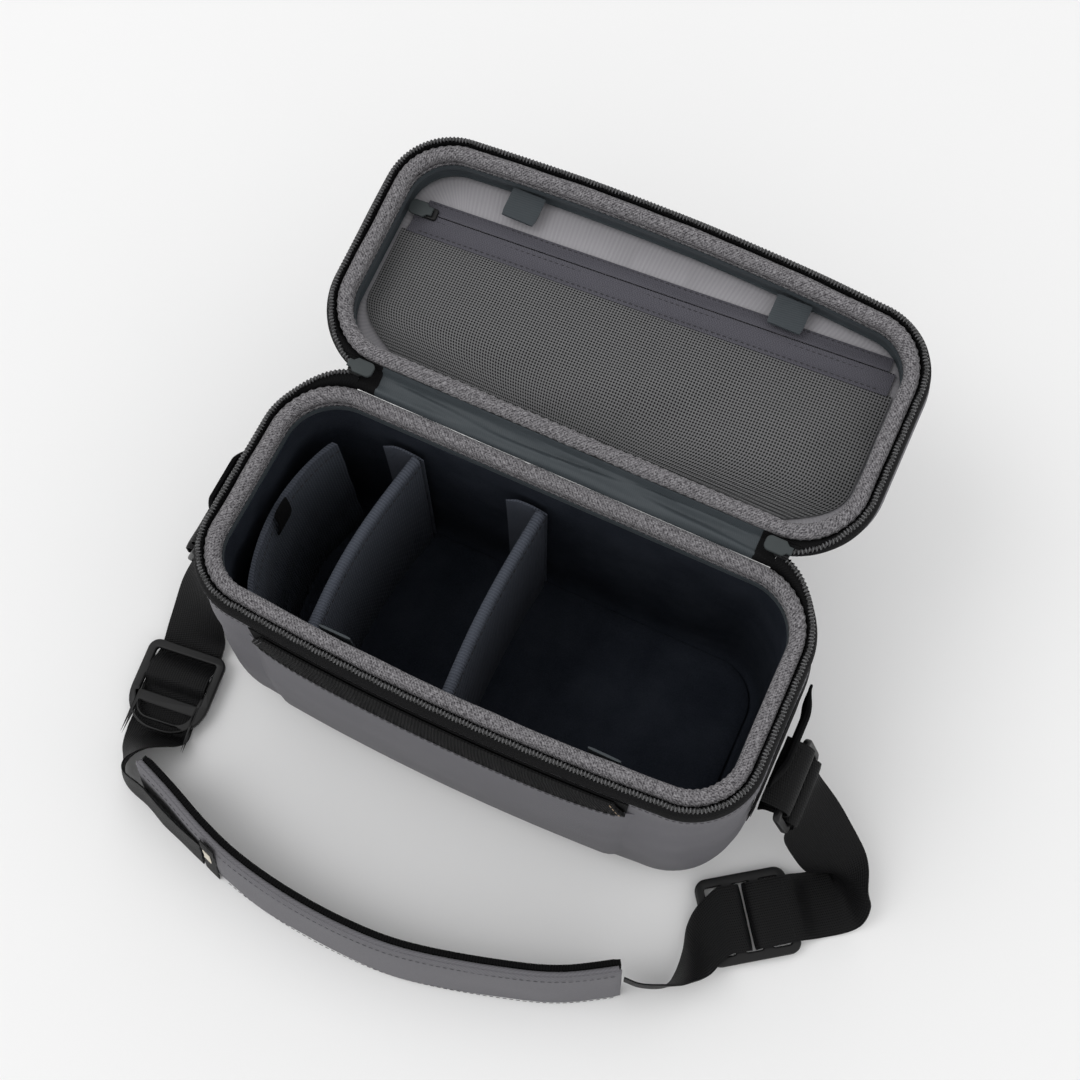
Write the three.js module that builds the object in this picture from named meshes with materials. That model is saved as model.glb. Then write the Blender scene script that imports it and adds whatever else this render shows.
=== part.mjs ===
// Shoulder camera bag with a moulded shell, a zipped lid, a padded divided inside and a webbing strap.
// Millimetres, +Z up. The origin is the middle of the base, on the surface the bag stands on.
// +X runs along the bag's length, +Y points to the lid's hinge, -Y to the front pocket.
// The bag is built open: the lid lies back on its cloth hinge, with its lining facing up.
import * as THREE from 'three';

// ---------------------------------------------------------------- driving dimensions
const RIM_HEIGHT = 165;          // height of the zip line, where the body and the lid meet
const HALF_LENGTH = 155;         // zip line to the middle, along X
const HALF_WIDTH = 72;           // zip line to the middle, along Y
const FRONT_RADIUS = 36;         // corner radii of the zip line
const REAR_RADIUS = 40;
const FRONT_BOW = 5;             // how far the middle of the front stands out past its corners
const ZIP_BAND = 12;             // height of the zip tape between the zip line and each shell
const LID_DEPTH = 38;            // zip line to the top of the closed lid
const LID_OPEN_ANGLE = 172;      // degrees the lid is turned back when it lies open
const HINGE_Y = 76.3;            // the fold of the cloth hinge
const HINGE_Z = RIM_HEIGHT + 5;
const GAP = 0.35;                // space left between pieces that touch
const SHELL = 3;                 // moulded shell thickness
const COLLAR_OUT = -2.6;         // padded collar, measured out from the zip line
const COLLAR_IN = -11.6;
const WEBBING_WIDTH = 38;
const WEBBING = 1.6;             // webbing thickness
const DIVIDER = 6.5;             // divider thickness
const FLOOR_TOP = 18;            // top of the padded floor inside
const DIVIDER_TOP = 138;

const V = (x, y, z) => new THREE.Vector3(x, y, z);
const { clamp, lerp, smoothstep, degToRad } = THREE.MathUtils;

// ---------------------------------------------------------------- materials
const cloth = (color, roughness = 0.9) =>
  new THREE.MeshStandardMaterial({ color, roughness, metalness: 0 });
const shellGrey = () => cloth(0x646468);
const heather = () => cloth(0x6e6c6e, 0.95);
const blackTape = () => cloth(0x151517, 0.85);
const blackCoil = () => cloth(0x101011, 0.5);
const blackWeb = () => cloth(0x121214, 0.8);
const slate = () => cloth(0x3c4246, 0.75);
const liner = () => cloth(0x22272e, 1);
const ribbed = () => cloth(0x373c44, 0.95);
const lightTwill = () => cloth(0x969498, 0.85);
const zipCloth = () => cloth(0x55555c, 0.8);
const meshCloth = () => cloth(0x4b4b4b, 0.85);
const blackPlastic = () => cloth(0x17181a, 0.45);
const rubber = () => cloth(0x35383a, 0.7);

// ---------------------------------------------------------------- solids from rings and sheets
// Turns lists of points and quads into one closed mesh whose faces point outwards.
function closedMesh(name, points, quads, material) {
  const index = [];
  for (const [a, b, c, d] of quads) {
    index.push(a, b, c);
    if (d !== undefined) index.push(a, c, d);
  }
  let volume = 0;
  for (let i = 0; i < index.length; i += 3) {
    const [a, b, c] = [points[index[i]], points[index[i + 1]], points[index[i + 2]]];
    volume += a.dot(b.clone().cross(c));
  }
  if (volume < 0) {
    for (let i = 0; i < index.length; i += 3) [index[i], index[i + 1]] = [index[i + 1], index[i]];
  }
  const geometry = new THREE.BufferGeometry().setFromPoints(points);
  geometry.setIndex(index);
  geometry.computeVertexNormals();
  const mesh = new THREE.Mesh(geometry, material);
  mesh.name = name;
  return mesh;
}

// A stack of closed rings with the same number of points: capped at both ends, or joined end to end.
function stack(name, rings, material, joined = false) {
  const count = rings[0].length;
  const points = rings.flat();
  const quads = [];
  const steps = joined ? rings.length : rings.length - 1;
  for (let k = 0; k < steps; k++) {
    const low = k * count;
    const high = ((k + 1) % rings.length) * count;
    for (let i = 0; i < count; i++) {
      const j = (i + 1) % count;
      quads.push([low + i, low + j, high + j, high + i]);
    }
  }
  if (!joined) {
    const ends = [[rings[0], 0, true], [rings.at(-1), (rings.length - 1) * count, false]];
    for (const [rail, start, flip] of ends) {
      const centre = rail.reduce((sum, p) => sum.add(p), V(0, 0, 0)).divideScalar(count);
      points.push(centre);
      for (let i = 0; i < count; i++) {
        const [a, b] = [start + i, start + ((i + 1) % count)];
        quads.push(flip ? [points.length - 1, b, a] : [points.length - 1, a, b]);
      }
    }
  }
  return closedMesh(name, points, quads, material);
}

// A sheet with thickness: two grids of points, rows by columns, joined round their four edges.
function sheet(name, front, back, material) {
  const rows = front.length;
  const columns = front[0].length;
  const points = [...front.flat(), ...back.flat()];
  const at = (side, r, c) => side * rows * columns + r * columns + c;
  const quads = [];
  for (let r = 0; r < rows - 1; r++) {
    for (let c = 0; c < columns - 1; c++) {
      quads.push([at(0, r, c), at(0, r, c + 1), at(0, r + 1, c + 1), at(0, r + 1, c)]);
      quads.push([at(1, r, c), at(1, r + 1, c), at(1, r + 1, c + 1), at(1, r, c + 1)]);
    }
    const last = columns - 1;
    quads.push([at(0, r, 0), at(0, r + 1, 0), at(1, r + 1, 0), at(1, r, 0)]);
    quads.push([at(0, r, last), at(1, r, last), at(1, r + 1, last), at(0, r + 1, last)]);
  }
  for (let c = 0; c < columns - 1; c++) {
    const last = rows - 1;
    quads.push([at(0, 0, c), at(1, 0, c), at(1, 0, c + 1), at(0, 0, c + 1)]);
    quads.push([at(0, last, c), at(0, last, c + 1), at(1, last, c + 1), at(1, last, c)]);
  }
  return closedMesh(name, points, quads, material);
}

// A sheet of even thickness laid on both sides of a grid of points.
function sheetAbout(name, grid, thickness, material) {
  const rows = grid.length;
  const columns = grid[0].length;
  const shifted = side => grid.map((row, r) => row.map((p, c) => {
    const along = grid[Math.min(r + 1, rows - 1)][c].clone().sub(grid[Math.max(r - 1, 0)][c]);
    const across = row[Math.min(c + 1, columns - 1)].clone().sub(row[Math.max(c - 1, 0)]);
    return p.clone().addScaledVector(along.cross(across).normalize(), side * thickness / 2);
  }));
  return sheet(name, shifted(1), shifted(-1), material);
}

// Rows and columns of points from a function of two numbers that run from 0 to 1.
function gridOf(rows, columns, place) {
  const grid = [];
  for (let r = 0; r <= rows; r++) {
    const row = [];
    for (let c = 0; c <= columns; c++) row.push(place(r / rows, c / columns));
    grid.push(row);
  }
  return grid;
}

function box(name, size, centre, material) {
  const mesh = new THREE.Mesh(new THREE.BoxGeometry(...size), material);
  mesh.name = name;
  mesh.position.set(...centre);
  return mesh;
}

// ---------------------------------------------------------------- the plan outline of the bag
const ARC_STEPS = 7;
const END_STEPS = 3;
const FRONT_STEPS = 12;
const REAR_STEPS = 5;

// y of the bag's front at x, standing out by grow from the zip line.
function frontY(x, grow) {
  const straight = HALF_LENGTH - FRONT_RADIUS;
  return -(HALF_WIDTH + grow) + FRONT_BOW * clamp(x / straight, -1, 1) ** 2;
}

// Closed ring of points at height z, out from the zip line by end, front and rear.
// It starts at the middle of the rear and runs round by -X, the front and +X.
function ring(z, end, front = end, rear = end) {
  const halfLength = HALF_LENGTH + end;
  const rearY = HALF_WIDTH + rear;
  const frontRadius = Math.max(FRONT_RADIUS + end, 5);
  const rearRadius = Math.max(REAR_RADIUS + end, 5);
  const frontCentre = frontY(HALF_LENGTH, front) + frontRadius;
  const rearCentre = rearY - rearRadius;
  const points = [];
  const arc = (cx, cy, radius, from) => {
    for (let i = 0; i <= ARC_STEPS; i++) {
      const angle = degToRad(from + 90 * i / ARC_STEPS);
      points.push(V(cx + radius * Math.cos(angle), cy + radius * Math.sin(angle), z));
    }
  };
  const run = (steps, place) => {
    for (let i = 1; i < steps; i++) points.push(place(i / steps));
  };
  const frontHalf = halfLength - frontRadius;
  const rearHalf = halfLength - rearRadius;
  points.push(V(0, rearY, z));
  run(REAR_STEPS, t => V(-rearHalf * t, rearY, z));
  arc(-rearHalf, rearCentre, rearRadius, 90);
  run(END_STEPS, t => V(-halfLength, lerp(rearCentre, frontCentre, t), z));
  arc(-frontHalf, frontCentre, frontRadius, 180);
  run(FRONT_STEPS, t => V(lerp(-frontHalf, frontHalf, t), frontY(lerp(-frontHalf, frontHalf, t), front), z));
  arc(frontHalf, frontCentre, frontRadius, 270);
  run(END_STEPS, t => V(halfLength, lerp(frontCentre, rearCentre, t), z));
  arc(rearHalf, rearCentre, rearRadius, 0);
  run(REAR_STEPS, t => V(rearHalf * (1 - t), rearY, z));
  return points;
}

// Where the zip starts and ends: this far round each rear corner from the rear's side.
const ZIP_CORNER_STEP = 4;
const ZIP_END = REAR_STEPS + ZIP_CORNER_STEP;
const zipSpan = points => points.slice(ZIP_END, points.length - ZIP_END + 1);

// A band all the way round, from a section of [out, height] corners.
function fullBand(name, section, material) {
  const rails = section.map(([grow, z]) => ring(z, grow));
  const rings = rails[0].map((_, i) => rails.map(rail => rail[i]));
  return stack(name, rings, material, true);
}

// A band along the zip only: round the front and both ends, open at the rear.
function zipBand(name, section, material) {
  const rails = section.map(([grow, z]) => zipSpan(ring(z, grow, grow, Math.min(grow, 0))));
  const rings = rails[0].map((_, i) => rails.map(rail => rail[i]));
  return stack(name, rings, material);
}

// ---------------------------------------------------------------- body shell and what lines it
// Height, then how far the outside stands out from the zip line at the ends, the front and the rear.
const SHELL_PROFILE = [
  [0, -26, -26, -28], [4, -9, -9, -11], [12, 2, 2, 0], [26, 8.5, 7.5, 6.5], [45, 9, 8, 7],
  [75, 8, 7, 6], [105, 6, 5, 3], [130, 5, 3.5, 0], [RIM_HEIGHT - ZIP_BAND, 4, 3.5, 0],
];
const SHELL_TOP = RIM_HEIGHT - ZIP_BAND;

// The profile's values at any height, by straight steps.
function shellAt(z) {
  const above = SHELL_PROFILE.findIndex(row => row[0] >= z);
  if (above <= 0) return above === 0 ? SHELL_PROFILE[0].slice(1) : SHELL_PROFILE.at(-1).slice(1);
  const [low, high] = [SHELL_PROFILE[above - 1], SHELL_PROFILE[above]];
  const t = (z - low[0]) / (high[0] - low[0]);
  return [1, 2, 3].map(i => lerp(low[i], high[i], t));
}

function bodyShell() {
  const outer = SHELL_PROFILE.map(([z, ...grow]) => ring(z, ...grow));
  const inner = SHELL_PROFILE.slice(2).reverse()
    .map(([z, ...grow]) => ring(Math.max(z, 14), ...grow.map(g => g - SHELL)));
  inner.push(ring(SHELL + 2, -12), ring(SHELL, -26));
  return stack('body_shell', [...outer, ...inner], shellGrey());
}

// Inside face of the foam lining: it leans out below the collar and in again at the floor.
const LINER_INSIDE = [[149.5, -11], [125, -10], [90, -9], [50, -8.5], [24, -9], [12, -14], [10, -24]];

function bodyLiner() {
  const clear = SHELL + GAP;
  const outer = [ring(SHELL + GAP, -28), ring(SHELL + 3 + GAP, -13)];
  for (const [z, ...grow] of SHELL_PROFILE.slice(2, -1)) {
    outer.push(ring(Math.max(z, 15), ...grow.map(g => g - clear)));
  }
  outer.push(ring(149.5, ...shellAt(149.5).map(g => g - clear)));
  const inner = LINER_INSIDE.map(([z, grow]) => ring(z, grow));
  return stack('body_liner', [...outer, ...inner], liner());
}

function basePad() {
  return stack('base_pad', [ring(12 + GAP, -15), ring(FLOOR_TOP - 2, -13.4), ring(FLOOR_TOP, -16)], liner());
}

const COLLAR_SECTION = [
  [-3.5, 150], [-3.5, 153.2], [COLLAR_OUT, 154.6], [COLLAR_OUT, 161], [-4.6, 164.3], [-9.6, 164.3],
  [COLLAR_IN, 161], [-11.2, 150],
];

function bodyRim() {
  const tape = [[3.9, SHELL_TOP + GAP], [1.3, 162.3], [-0.2, 162.3], [2.2, SHELL_TOP + GAP]];
  const coil = [[1, 162.6], [1, RIM_HEIGHT - 0.2], [-1.4, RIM_HEIGHT - 0.2], [-1.4, 162.6]];
  return [
    fullBand('body_collar', COLLAR_SECTION, heather()),
    zipBand('body_zip_tape', tape, blackTape()),
    zipBand('body_zip_coil', coil, blackCoil()),
  ];
}

// ---------------------------------------------------------------- front slip pocket
const POCKET_LEFT = -112;
const POCKET_RIGHT = 106;
const POCKET_FOOT = 20;
const BAND_FOOT = 133;
const BAND_TOP = 151;
const POCKET_BULGE = 3.6;

// How far the pocket bulges off the shell: nothing at its foot, its ends and its elastic mouth.
function pocketStandOff(x, z) {
  const along = (x - (POCKET_LEFT + POCKET_RIGHT) / 2) / ((POCKET_RIGHT - POCKET_LEFT) / 2);
  const mouth = clamp((BAND_TOP - z) / (BAND_TOP - BAND_FOOT), 0, 1);
  return POCKET_BULGE * (1 - along ** 6) * smoothstep(z, POCKET_FOOT, BAND_FOOT - 20) * mouth;
}

// A layer of the pocket between two heights, standing off the shell by inside; inset shortens both ends.
function pocketSheet(name, z0, z1, rows, inside, thickness, inset, material) {
  const surface = extra => gridOf(rows, 22, (v, u) => {
    const [x, z] = [lerp(POCKET_LEFT + inset, POCKET_RIGHT - inset, u), lerp(z0, z1, v)];
    return V(x, frontY(x, shellAt(z)[1]) - inside(x, z) - extra, z);
  });
  return sheet(name, surface(thickness), surface(0), material);
}

function frontPocket() {
  const proud = (x, z) => 1.2 + GAP + pocketStandOff(x, z);
  return [
    pocketSheet('front_pocket_facing', 112, BAND_TOP - 2, 3, () => GAP, 0.8, 8, blackTape()),
    pocketSheet('front_pocket_panel', POCKET_FOOT, BAND_FOOT - GAP, 9, proud, 1.3, 0, shellGrey()),
    pocketSheet('front_pocket_band', BAND_FOOT, BAND_TOP, 2, proud, 1.6, 4, blackWeb()),
  ];
}

// Padded panel on the rear, the side worn against the body.
function backPanel() {
  const face = out => gridOf(8, 12, (v, u) => {
    const [x, z] = [lerp(-98, 98, u), lerp(28, 126, v)];
    const pillow = out * (0.35 + 0.65 * (1 - (2 * u - 1) ** 8) * (1 - (2 * v - 1) ** 8));
    return V(x, HALF_WIDTH + shellAt(z)[2] + GAP + pillow, z);
  });
  return sheet('back_panel', face(6), face(0), blackTape());
}

// ---------------------------------------------------------------- ends: panel, grab handle, strap anchor
const ANCHOR_Y = -12;            // middle of the strap anchor on each end
const PANEL_THICKNESS = 1.4;
const SIDES = [['left', -1], ['right', 1]];

// Point on the end wall at (y, z), standing out by out: it follows the rear corner round.
function endWall(side, y, z, out) {
  const [end, , rear] = shellAt(z);
  const radius = REAR_RADIUS + end + out;
  const past = Math.max(y - (HALF_WIDTH + rear - REAR_RADIUS - end), 0);
  return V(side * (HALF_LENGTH - REAR_RADIUS + Math.sqrt(radius ** 2 - past ** 2)), y, z);
}

function sidePanel(name, side) {
  const face = out => gridOf(5, 10, (v, u) => endWall(side, lerp(-31, 46, u), lerp(44, 140, v), GAP + out));
  return sheet(name, face(PANEL_THICKNESS), face(0), blackTape());
}

// Padded handle that bridges the end panel: the left one stands clear, the right one is pressed flatter.
const HANDLE = { front: -27, rear: 33, middleZ: 117, width: 20, thickness: 4.5 };
const HANDLE_LIFT = { left: 8, right: 3 };

function grabHandle(name, side, lift) {
  const face = out => gridOf(16, 2, (t, w) => {
    const clear = PANEL_THICKNESS + 2 * GAP + 0.3 + lift * smoothstep(Math.min(t, 1 - t), 0.04, 0.3);
    const z = HANDLE.middleZ + (w - 0.5) * HANDLE.width;
    return endWall(side, lerp(HANDLE.front, HANDLE.rear, t), z, clear + out);
  });
  return sheet(name, face(HANDLE.thickness), face(0), blackTape());
}

// A strip of webbing along Y, bent to follow a path of [out from the end, height].
function bentStrip(name, path, side, y0, y1, thickness, material) {
  const grid = path.map(([out, z]) => [y0, (y0 + y1) / 2, y1].map(y => V(side * out, y, z)));
  return sheetAbout(name, grid, thickness, material);
}

function anchorTab(name, side) {
  const path = [[164.2, 104.8], [168, 105], [173, 104.7], [177.6, 103.2], [180.6, 99.6], [180.6, 95.2],
    [177.4, 92.2], [172.4, 90.6], [168, 88], [165.9, 82]];
  return bentStrip(name, path, side, ANCHOR_Y - 19, ANCHOR_Y + 19, WEBBING, blackWeb());
}

// Moulded ring: its upper bar is held by the anchor tab, and the strap goes round its lower bar.
function strapRing(name, side) {
  const [halfWidth, bar, length, thickness] = [24.5, 4.4, 25, 4];
  const rounded = (w, h, r) => {
    const shape = new THREE.Shape();
    shape.absarc(w - r, h - r, r, 0, Math.PI / 2);
    shape.absarc(-w + r, h - r, r, Math.PI / 2, Math.PI);
    shape.absarc(-w + r, -h + r, r, Math.PI, 1.5 * Math.PI);
    shape.absarc(w - r, -h + r, r, 1.5 * Math.PI, 2 * Math.PI);
    return shape;
  };
  const outline = rounded(halfWidth, length / 2, 4);
  outline.holes.push(rounded(halfWidth - bar, length / 2 - bar, 1.5));
  const moulding = { depth: thickness, bevelEnabled: false, curveSegments: 4 };
  const geometry = new THREE.ExtrudeGeometry(outline, moulding);
  geometry.translate(0, 0, -thickness / 2);
  const mesh = new THREE.Mesh(geometry, blackPlastic());
  mesh.name = name;
  mesh.rotation.set(Math.PI / 2, Math.PI / 2, 0);
  const holder = new THREE.Group();
  holder.add(mesh);
  holder.position.set(side * 179.5, ANCHOR_Y, 88.5);
  holder.rotation.y = side * degToRad(-22);
  return holder;
}

function ends() {
  return SIDES.flatMap(([word, side]) => [
    sidePanel(`side_panel_${word}`, side),
    grabHandle(`grab_handle_${word}`, side, HANDLE_LIFT[word]),
    anchorTab(`anchor_tab_${word}`, side),
    strapRing(`strap_ring_${word}`, side),
  ]);
}

// ---------------------------------------------------------------- inside: organiser, dividers, small tabs
// Padded sleeve along the left end, open at its top; it bows away from the wall.
function organiser() {
  const line = u => V(-127 - 11 * Math.sin(Math.PI * u) ** 0.8, lerp(-50, 46, u), 0);
  const face = out => gridOf(6, 14, (v, u) => {
    const p = line(u);
    const lean = lerp(7, 0, v);
    return V(p.x + lean * 0.6 + out, p.y, lerp(FLOOR_TOP + 0.5, 132, v));
  });
  const tab = gridOf(3, 2, (v, u) => {
    const p = line(0.42 + 0.13 * u);
    return V(p.x + 5.2 + 1.6 * Math.sin(Math.PI * v), p.y, lerp(118, 138, v));
  });
  return [
    sheet('organiser_pocket', face(4), face(0), ribbed()),
    sheetAbout('organiser_tab', tab, 1.4, blackTape()),
  ];
}

// Each divider is a padded board with a hook-and-loop flap folded along the wall at each end.
const DIVIDERS = [
  { word: 'left', front: V(-85, -55.6, 0), middle: V(-93, -4, 0), rear: V(-79, 55, 0) },
  { word: 'right', front: V(-5, -58.4, 0), middle: V(-11, -4, 0), rear: V(-4, 55, 0) },
];

function divider({ word, front, middle, rear }) {
  const curve = new THREE.QuadraticBezierCurve3(front, middle, rear);
  const at = (u, z, out) => {
    const p = curve.getPoint(u);
    const n = curve.getTangent(u);
    return V(p.x - n.y * out, p.y + n.x * out, z);
  };
  const board = side =>
    gridOf(2, 12, (v, u) => at(u, lerp(FLOOR_TOP + 0.6, DIVIDER_TOP, v), side * DIVIDER / 2));
  const flap = (end, from, wallY) => sheetAbout(`divider_${word}_flap_${end}`, gridOf(2, 5, (v, u) => {
    const x = from.x + DIVIDER / 2 - 24 * u;
    return V(x, wallY(x), lerp(FLOOR_TOP + 4, DIVIDER_TOP - 6, v));
  }), 1.3, blackTape());
  return [
    sheet(`divider_${word}`, board(1), board(-1), ribbed()),
    flap('front', front, x => frontY(x, -12)),
    flap('rear', rear, () => rear.y + 2),
  ];
}

// Small cloth tabs sewn under the collar on the front wall.
function frontWallTabs() {
  return [['left', -68], ['right', 83]].map(([word, x]) =>
    box(`front_wall_tab_${word}`, [18, 1.4, 16], [x, frontY(x, 0) + 14.6, 148], slate()));
}

// ---------------------------------------------------------------- cloth hinge, end gussets, sliders
const turnBack = point => point.clone().sub(V(0, HINGE_Y, HINGE_Z))
  .applyAxisAngle(V(1, 0, 0), -degToRad(LID_OPEN_ANGLE)).add(V(0, HINGE_Y, HINGE_Z));
const SLIDER_X = 122;
const CLOTH_X = 110;

// Across the hinge, from the body's collar over the fold to the lid's collar, at x; outward widens it.
function hingeLine(x, outer) {
  const seam = HALF_WIDTH + COLLAR_OUT + 0.8;
  const body = V(outer, seam, RIM_HEIGHT - 4.6);
  const lid = turnBack(V(outer, seam, RIM_HEIGHT + 4.6));
  const fold = [[-3.3, -7.5], [0.9, -6.6], [4.7, -4.4]].map(([y, z]) => V(x, HINGE_Y + y, HINGE_Z + z));
  return [body, ...fold, lid];
}

function clothHinge() {
  const steps = 10;
  const middle = [];
  for (let i = 0; i <= steps; i++) {
    const x = lerp(-CLOTH_X, CLOTH_X, i / steps);
    middle.push(hingeLine(x, x));
  }
  const pieces = [sheetAbout('hinge_fabric', middle, 0.8, slate())];
  for (const [word, side] of SIDES) {
    const rows = [0, 0.5, 1].map(t =>
      hingeLine(side * lerp(CLOTH_X + 0.4, SLIDER_X - 1, t), side * lerp(CLOTH_X + 0.4, SLIDER_X + 3, t)));
    pieces.push(sheetAbout(`hinge_gusset_${word}`, rows, 0.8, blackTape()));
  }
  return pieces;
}

// A slider at each end of the zip. Its rubber pull hangs from the slider's outer end and lies back over it.
const SLIDER = { length: 8, width: 6.6, height: 4.4 };
const PULL = { length: 15, width: 8.6, thickness: 2.2, neck: 4.4 };

function mainSliders() {
  return SIDES.flatMap(([word, side]) => {
    const body = box(`zip_slider_${word}`, [SLIDER.length, SLIDER.width, SLIDER.height],
      [side * (SLIDER_X + 1), HINGE_Y + 0.3, HINGE_Z], blackPlastic());
    const outline = new THREE.Shape();
    const half = PULL.width / 2;
    outline.moveTo(0, -PULL.neck / 2);
    outline.lineTo(4, -half);
    outline.lineTo(PULL.length, -half);
    outline.lineTo(PULL.length, half);
    outline.lineTo(4, half);
    outline.lineTo(0, PULL.neck / 2);
    const geometry = new THREE.ExtrudeGeometry(outline, { depth: PULL.thickness, bevelEnabled: false });
    const pull = new THREE.Mesh(geometry, rubber());
    pull.name = `zip_pull_${word}`;
    pull.position.set(side * (SLIDER_X + 5.5), HINGE_Y + 0.5, HINGE_Z + SLIDER.height / 2 + GAP);
    if (side > 0) pull.rotation.z = Math.PI;
    return [body, pull];
  });
}

// ---------------------------------------------------------------- lid, built closed and then turned back
// Height above the zip line, then how far the outside stands out at the ends, the front and the rear.
const LID_PROFILE = [
  [ZIP_BAND, 4, 4, 0], [20, 5, 5, 0], [27, 3, 3, -1.5], [33, -3, -3, -6], [LID_DEPTH - 2, -11, -11, -14],
  [LID_DEPTH, -26, -26, -28],
];
const TRAY_FLOOR = 28;           // lining of the lid, above the zip line
// The inside of the shell, in the same terms.
const LID_INSIDE = [
  [35, -26, -26, -28], [33.4, -12, -12, -15], [31, -5, -5, -8], [26, 0.2, 0.2, -4.3], [20, 2, 2, -3],
  [ZIP_BAND, 1, 1, -3],
];
// The foam lining fills the shell, from the middle of its hidden face to the edge of its side wall.
const LINING_OUTSIDE = [
  [33.6, -27, -27, -29], [32.6, -12.6, -12.6, -15.6], [30.5, -5.7, -5.7, -8.7], [25.8, -0.4, -0.4, -4.9],
  [20, 1.4, 1.4, -3.5], [13.8, 0.5, 0.5, -3.5],
];

const lidRings = profile => profile.map(([h, ...grow]) => ring(RIM_HEIGHT + h, ...grow));

function lidShell() {
  return stack('lid_shell', [...lidRings(LID_INSIDE), ...lidRings(LID_PROFILE)], shellGrey());
}

function lidLining() {
  const inside = lidRings([[13.8, -8.6], [TRAY_FLOOR, -9.4], [TRAY_FLOOR + 0.6, -14]]);
  return stack('lid_lining', [...lidRings(LINING_OUTSIDE), ...inside], slate());
}

const lidHeight = h => RIM_HEIGHT + h;

function lidPanel() {
  return stack('lid_panel', [ring(lidHeight(26.2), -10.4), ring(lidHeight(27.6), -10.4)], lightTwill());
}

function lidRim() {
  const mirrored = COLLAR_SECTION.map(([grow, z]) => [grow, 2 * RIM_HEIGHT - z - (z < 151 ? 1.6 : 0)]);
  const shellEdge = lidHeight(ZIP_BAND) - GAP;
  const tape = [[3.9, shellEdge], [1.3, lidHeight(2.7)], [-0.2, lidHeight(2.7)], [2.2, shellEdge]];
  const coil = [[1, lidHeight(0.2)], [1, lidHeight(2.4)], [-1.4, lidHeight(2.4)], [-1.4, lidHeight(0.2)]];
  return [
    fullBand('lid_collar', mirrored, heather()),
    zipBand('lid_zip_tape', tape, blackTape()),
    zipBand('lid_zip_coil', coil, blackCoil()),
  ];
}

// The zip of the mesh pocket runs across the lid, a little aslant; the pocket hangs from it to the hinge.
const POCKET_ZIP_Y = -35;        // at the middle of the lid
const POCKET_ZIP_SLANT = -3.3;   // degrees
const POCKET_ZIP_HALF = 138;
const POCKET_ZIP_FACE = 25.6;    // height of the zip cloth's lining side
const MESH_REAR_Y = 56;
const zipY = x => POCKET_ZIP_Y + Math.tan(degToRad(POCKET_ZIP_SLANT)) * x;

// A piece that lies along the pocket's zip: at along from its middle and across from its line.
function onPocketZip(name, size, along, across, height, material) {
  const holder = new THREE.Group();
  holder.add(box(name, size, [along, across, 0], material));
  holder.rotation.z = degToRad(POCKET_ZIP_SLANT);
  holder.position.set(0, POCKET_ZIP_Y, lidHeight(height));
  return holder;
}

function lidPocket() {
  const strip = (name, half, from, to) => onPocketZip(name, [2 * half, to - from, 0.9], 0, (from + to) / 2,
    POCKET_ZIP_FACE, zipCloth());
  const halfAt = y => POCKET_ZIP_HALF + 4 - 38 * clamp((y - 22) / 34, 0, 1) ** 2;
  const mesh = drop => gridOf(8, 16, (v, u) => {
    const far = zipY((POCKET_ZIP_HALF + 4) * (2 * u - 1)) + 12.4;
    const y = lerp(far, MESH_REAR_Y, v);
    const bulge = 6 * Math.sin(Math.PI * v) ** 0.8 * (1 - (2 * u - 1) ** 6);
    return V(halfAt(y) * (2 * u - 1), y, lidHeight(25.2 - bulge - drop));
  });
  return [
    strip('pocket_zip_tape_upper', POCKET_ZIP_HALF - 4, -8.5, -1.3),
    strip('pocket_zip_tape_lower', POCKET_ZIP_HALF, 1.3, 12),
    onPocketZip('pocket_zip_coil', [2 * POCKET_ZIP_HALF, 1.8, 1.2], 0, 0, POCKET_ZIP_FACE - 0.3, blackCoil()),
    sheet('mesh_pocket', mesh(1), mesh(0), meshCloth()),
    onPocketZip('pocket_slider', [9, 7, 2.6], -POCKET_ZIP_HALF + 6, 0, 23, blackPlastic()),
    onPocketZip('pocket_pull', [14, 9, 1.8], -POCKET_ZIP_HALF + 1, 0, 20.1, rubber()),
  ];
}

// Cloth tabs that hang from the collar on the lid's front edge, over the lining.
function lidTabs() {
  return [['left', -84], ['right', 75]].map(([word, x]) =>
    box(`lid_tab_${word}`, [20, 17, 1.6], [x, -49.9, lidHeight(18.2)], slate()));
}

function lid() {
  const group = new THREE.Group();
  const closed = new THREE.Group();
  closed.add(lidShell(), lidLining(), lidPanel(), ...lidRim(), ...lidPocket(), ...lidTabs());
  closed.position.set(0, -HINGE_Y, -HINGE_Z);
  group.add(closed);
  group.rotation.x = -degToRad(LID_OPEN_ANGLE);
  group.position.set(0, HINGE_Y, HINGE_Z);
  return group;
}

// ---------------------------------------------------------------- shoulder strap, lying on the floor
const vector = p => (p.isVector3 ? p.clone() : V(...p));

// A ribbon through stations of [middle, direction across]. A squared one is kept square to its path;
// otherwise it follows the directions as they are given, as webbing does where it twists and slips sideways.
function ribbon(name, stations, width, thickness, material, squared) {
  const steps = 4;
  const middles = new THREE.CatmullRomCurve3(stations.map(([p]) => vector(p)), false, 'centripetal');
  const acrosses = stations.map(([, w]) => vector(w).normalize());
  const count = steps * (stations.length - 1);
  const grid = [];
  for (let i = 0; i <= count; i++) {
    const t = i / count;
    const k = Math.min(Math.floor(t * (stations.length - 1)), stations.length - 2);
    const across = acrosses[k].clone().lerp(acrosses[k + 1], t * (stations.length - 1) - k);
    const along = middles.getTangent(t);
    if (squared) across.addScaledVector(along, -across.dot(along));
    across.normalize();
    const middle = middles.getPoint(t);
    grid.push([-0.5, 0, 0.5].map(w => middle.clone().addScaledVector(across, w * width)));
  }
  return sheetAbout(name, grid, thickness, material);
}

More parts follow.
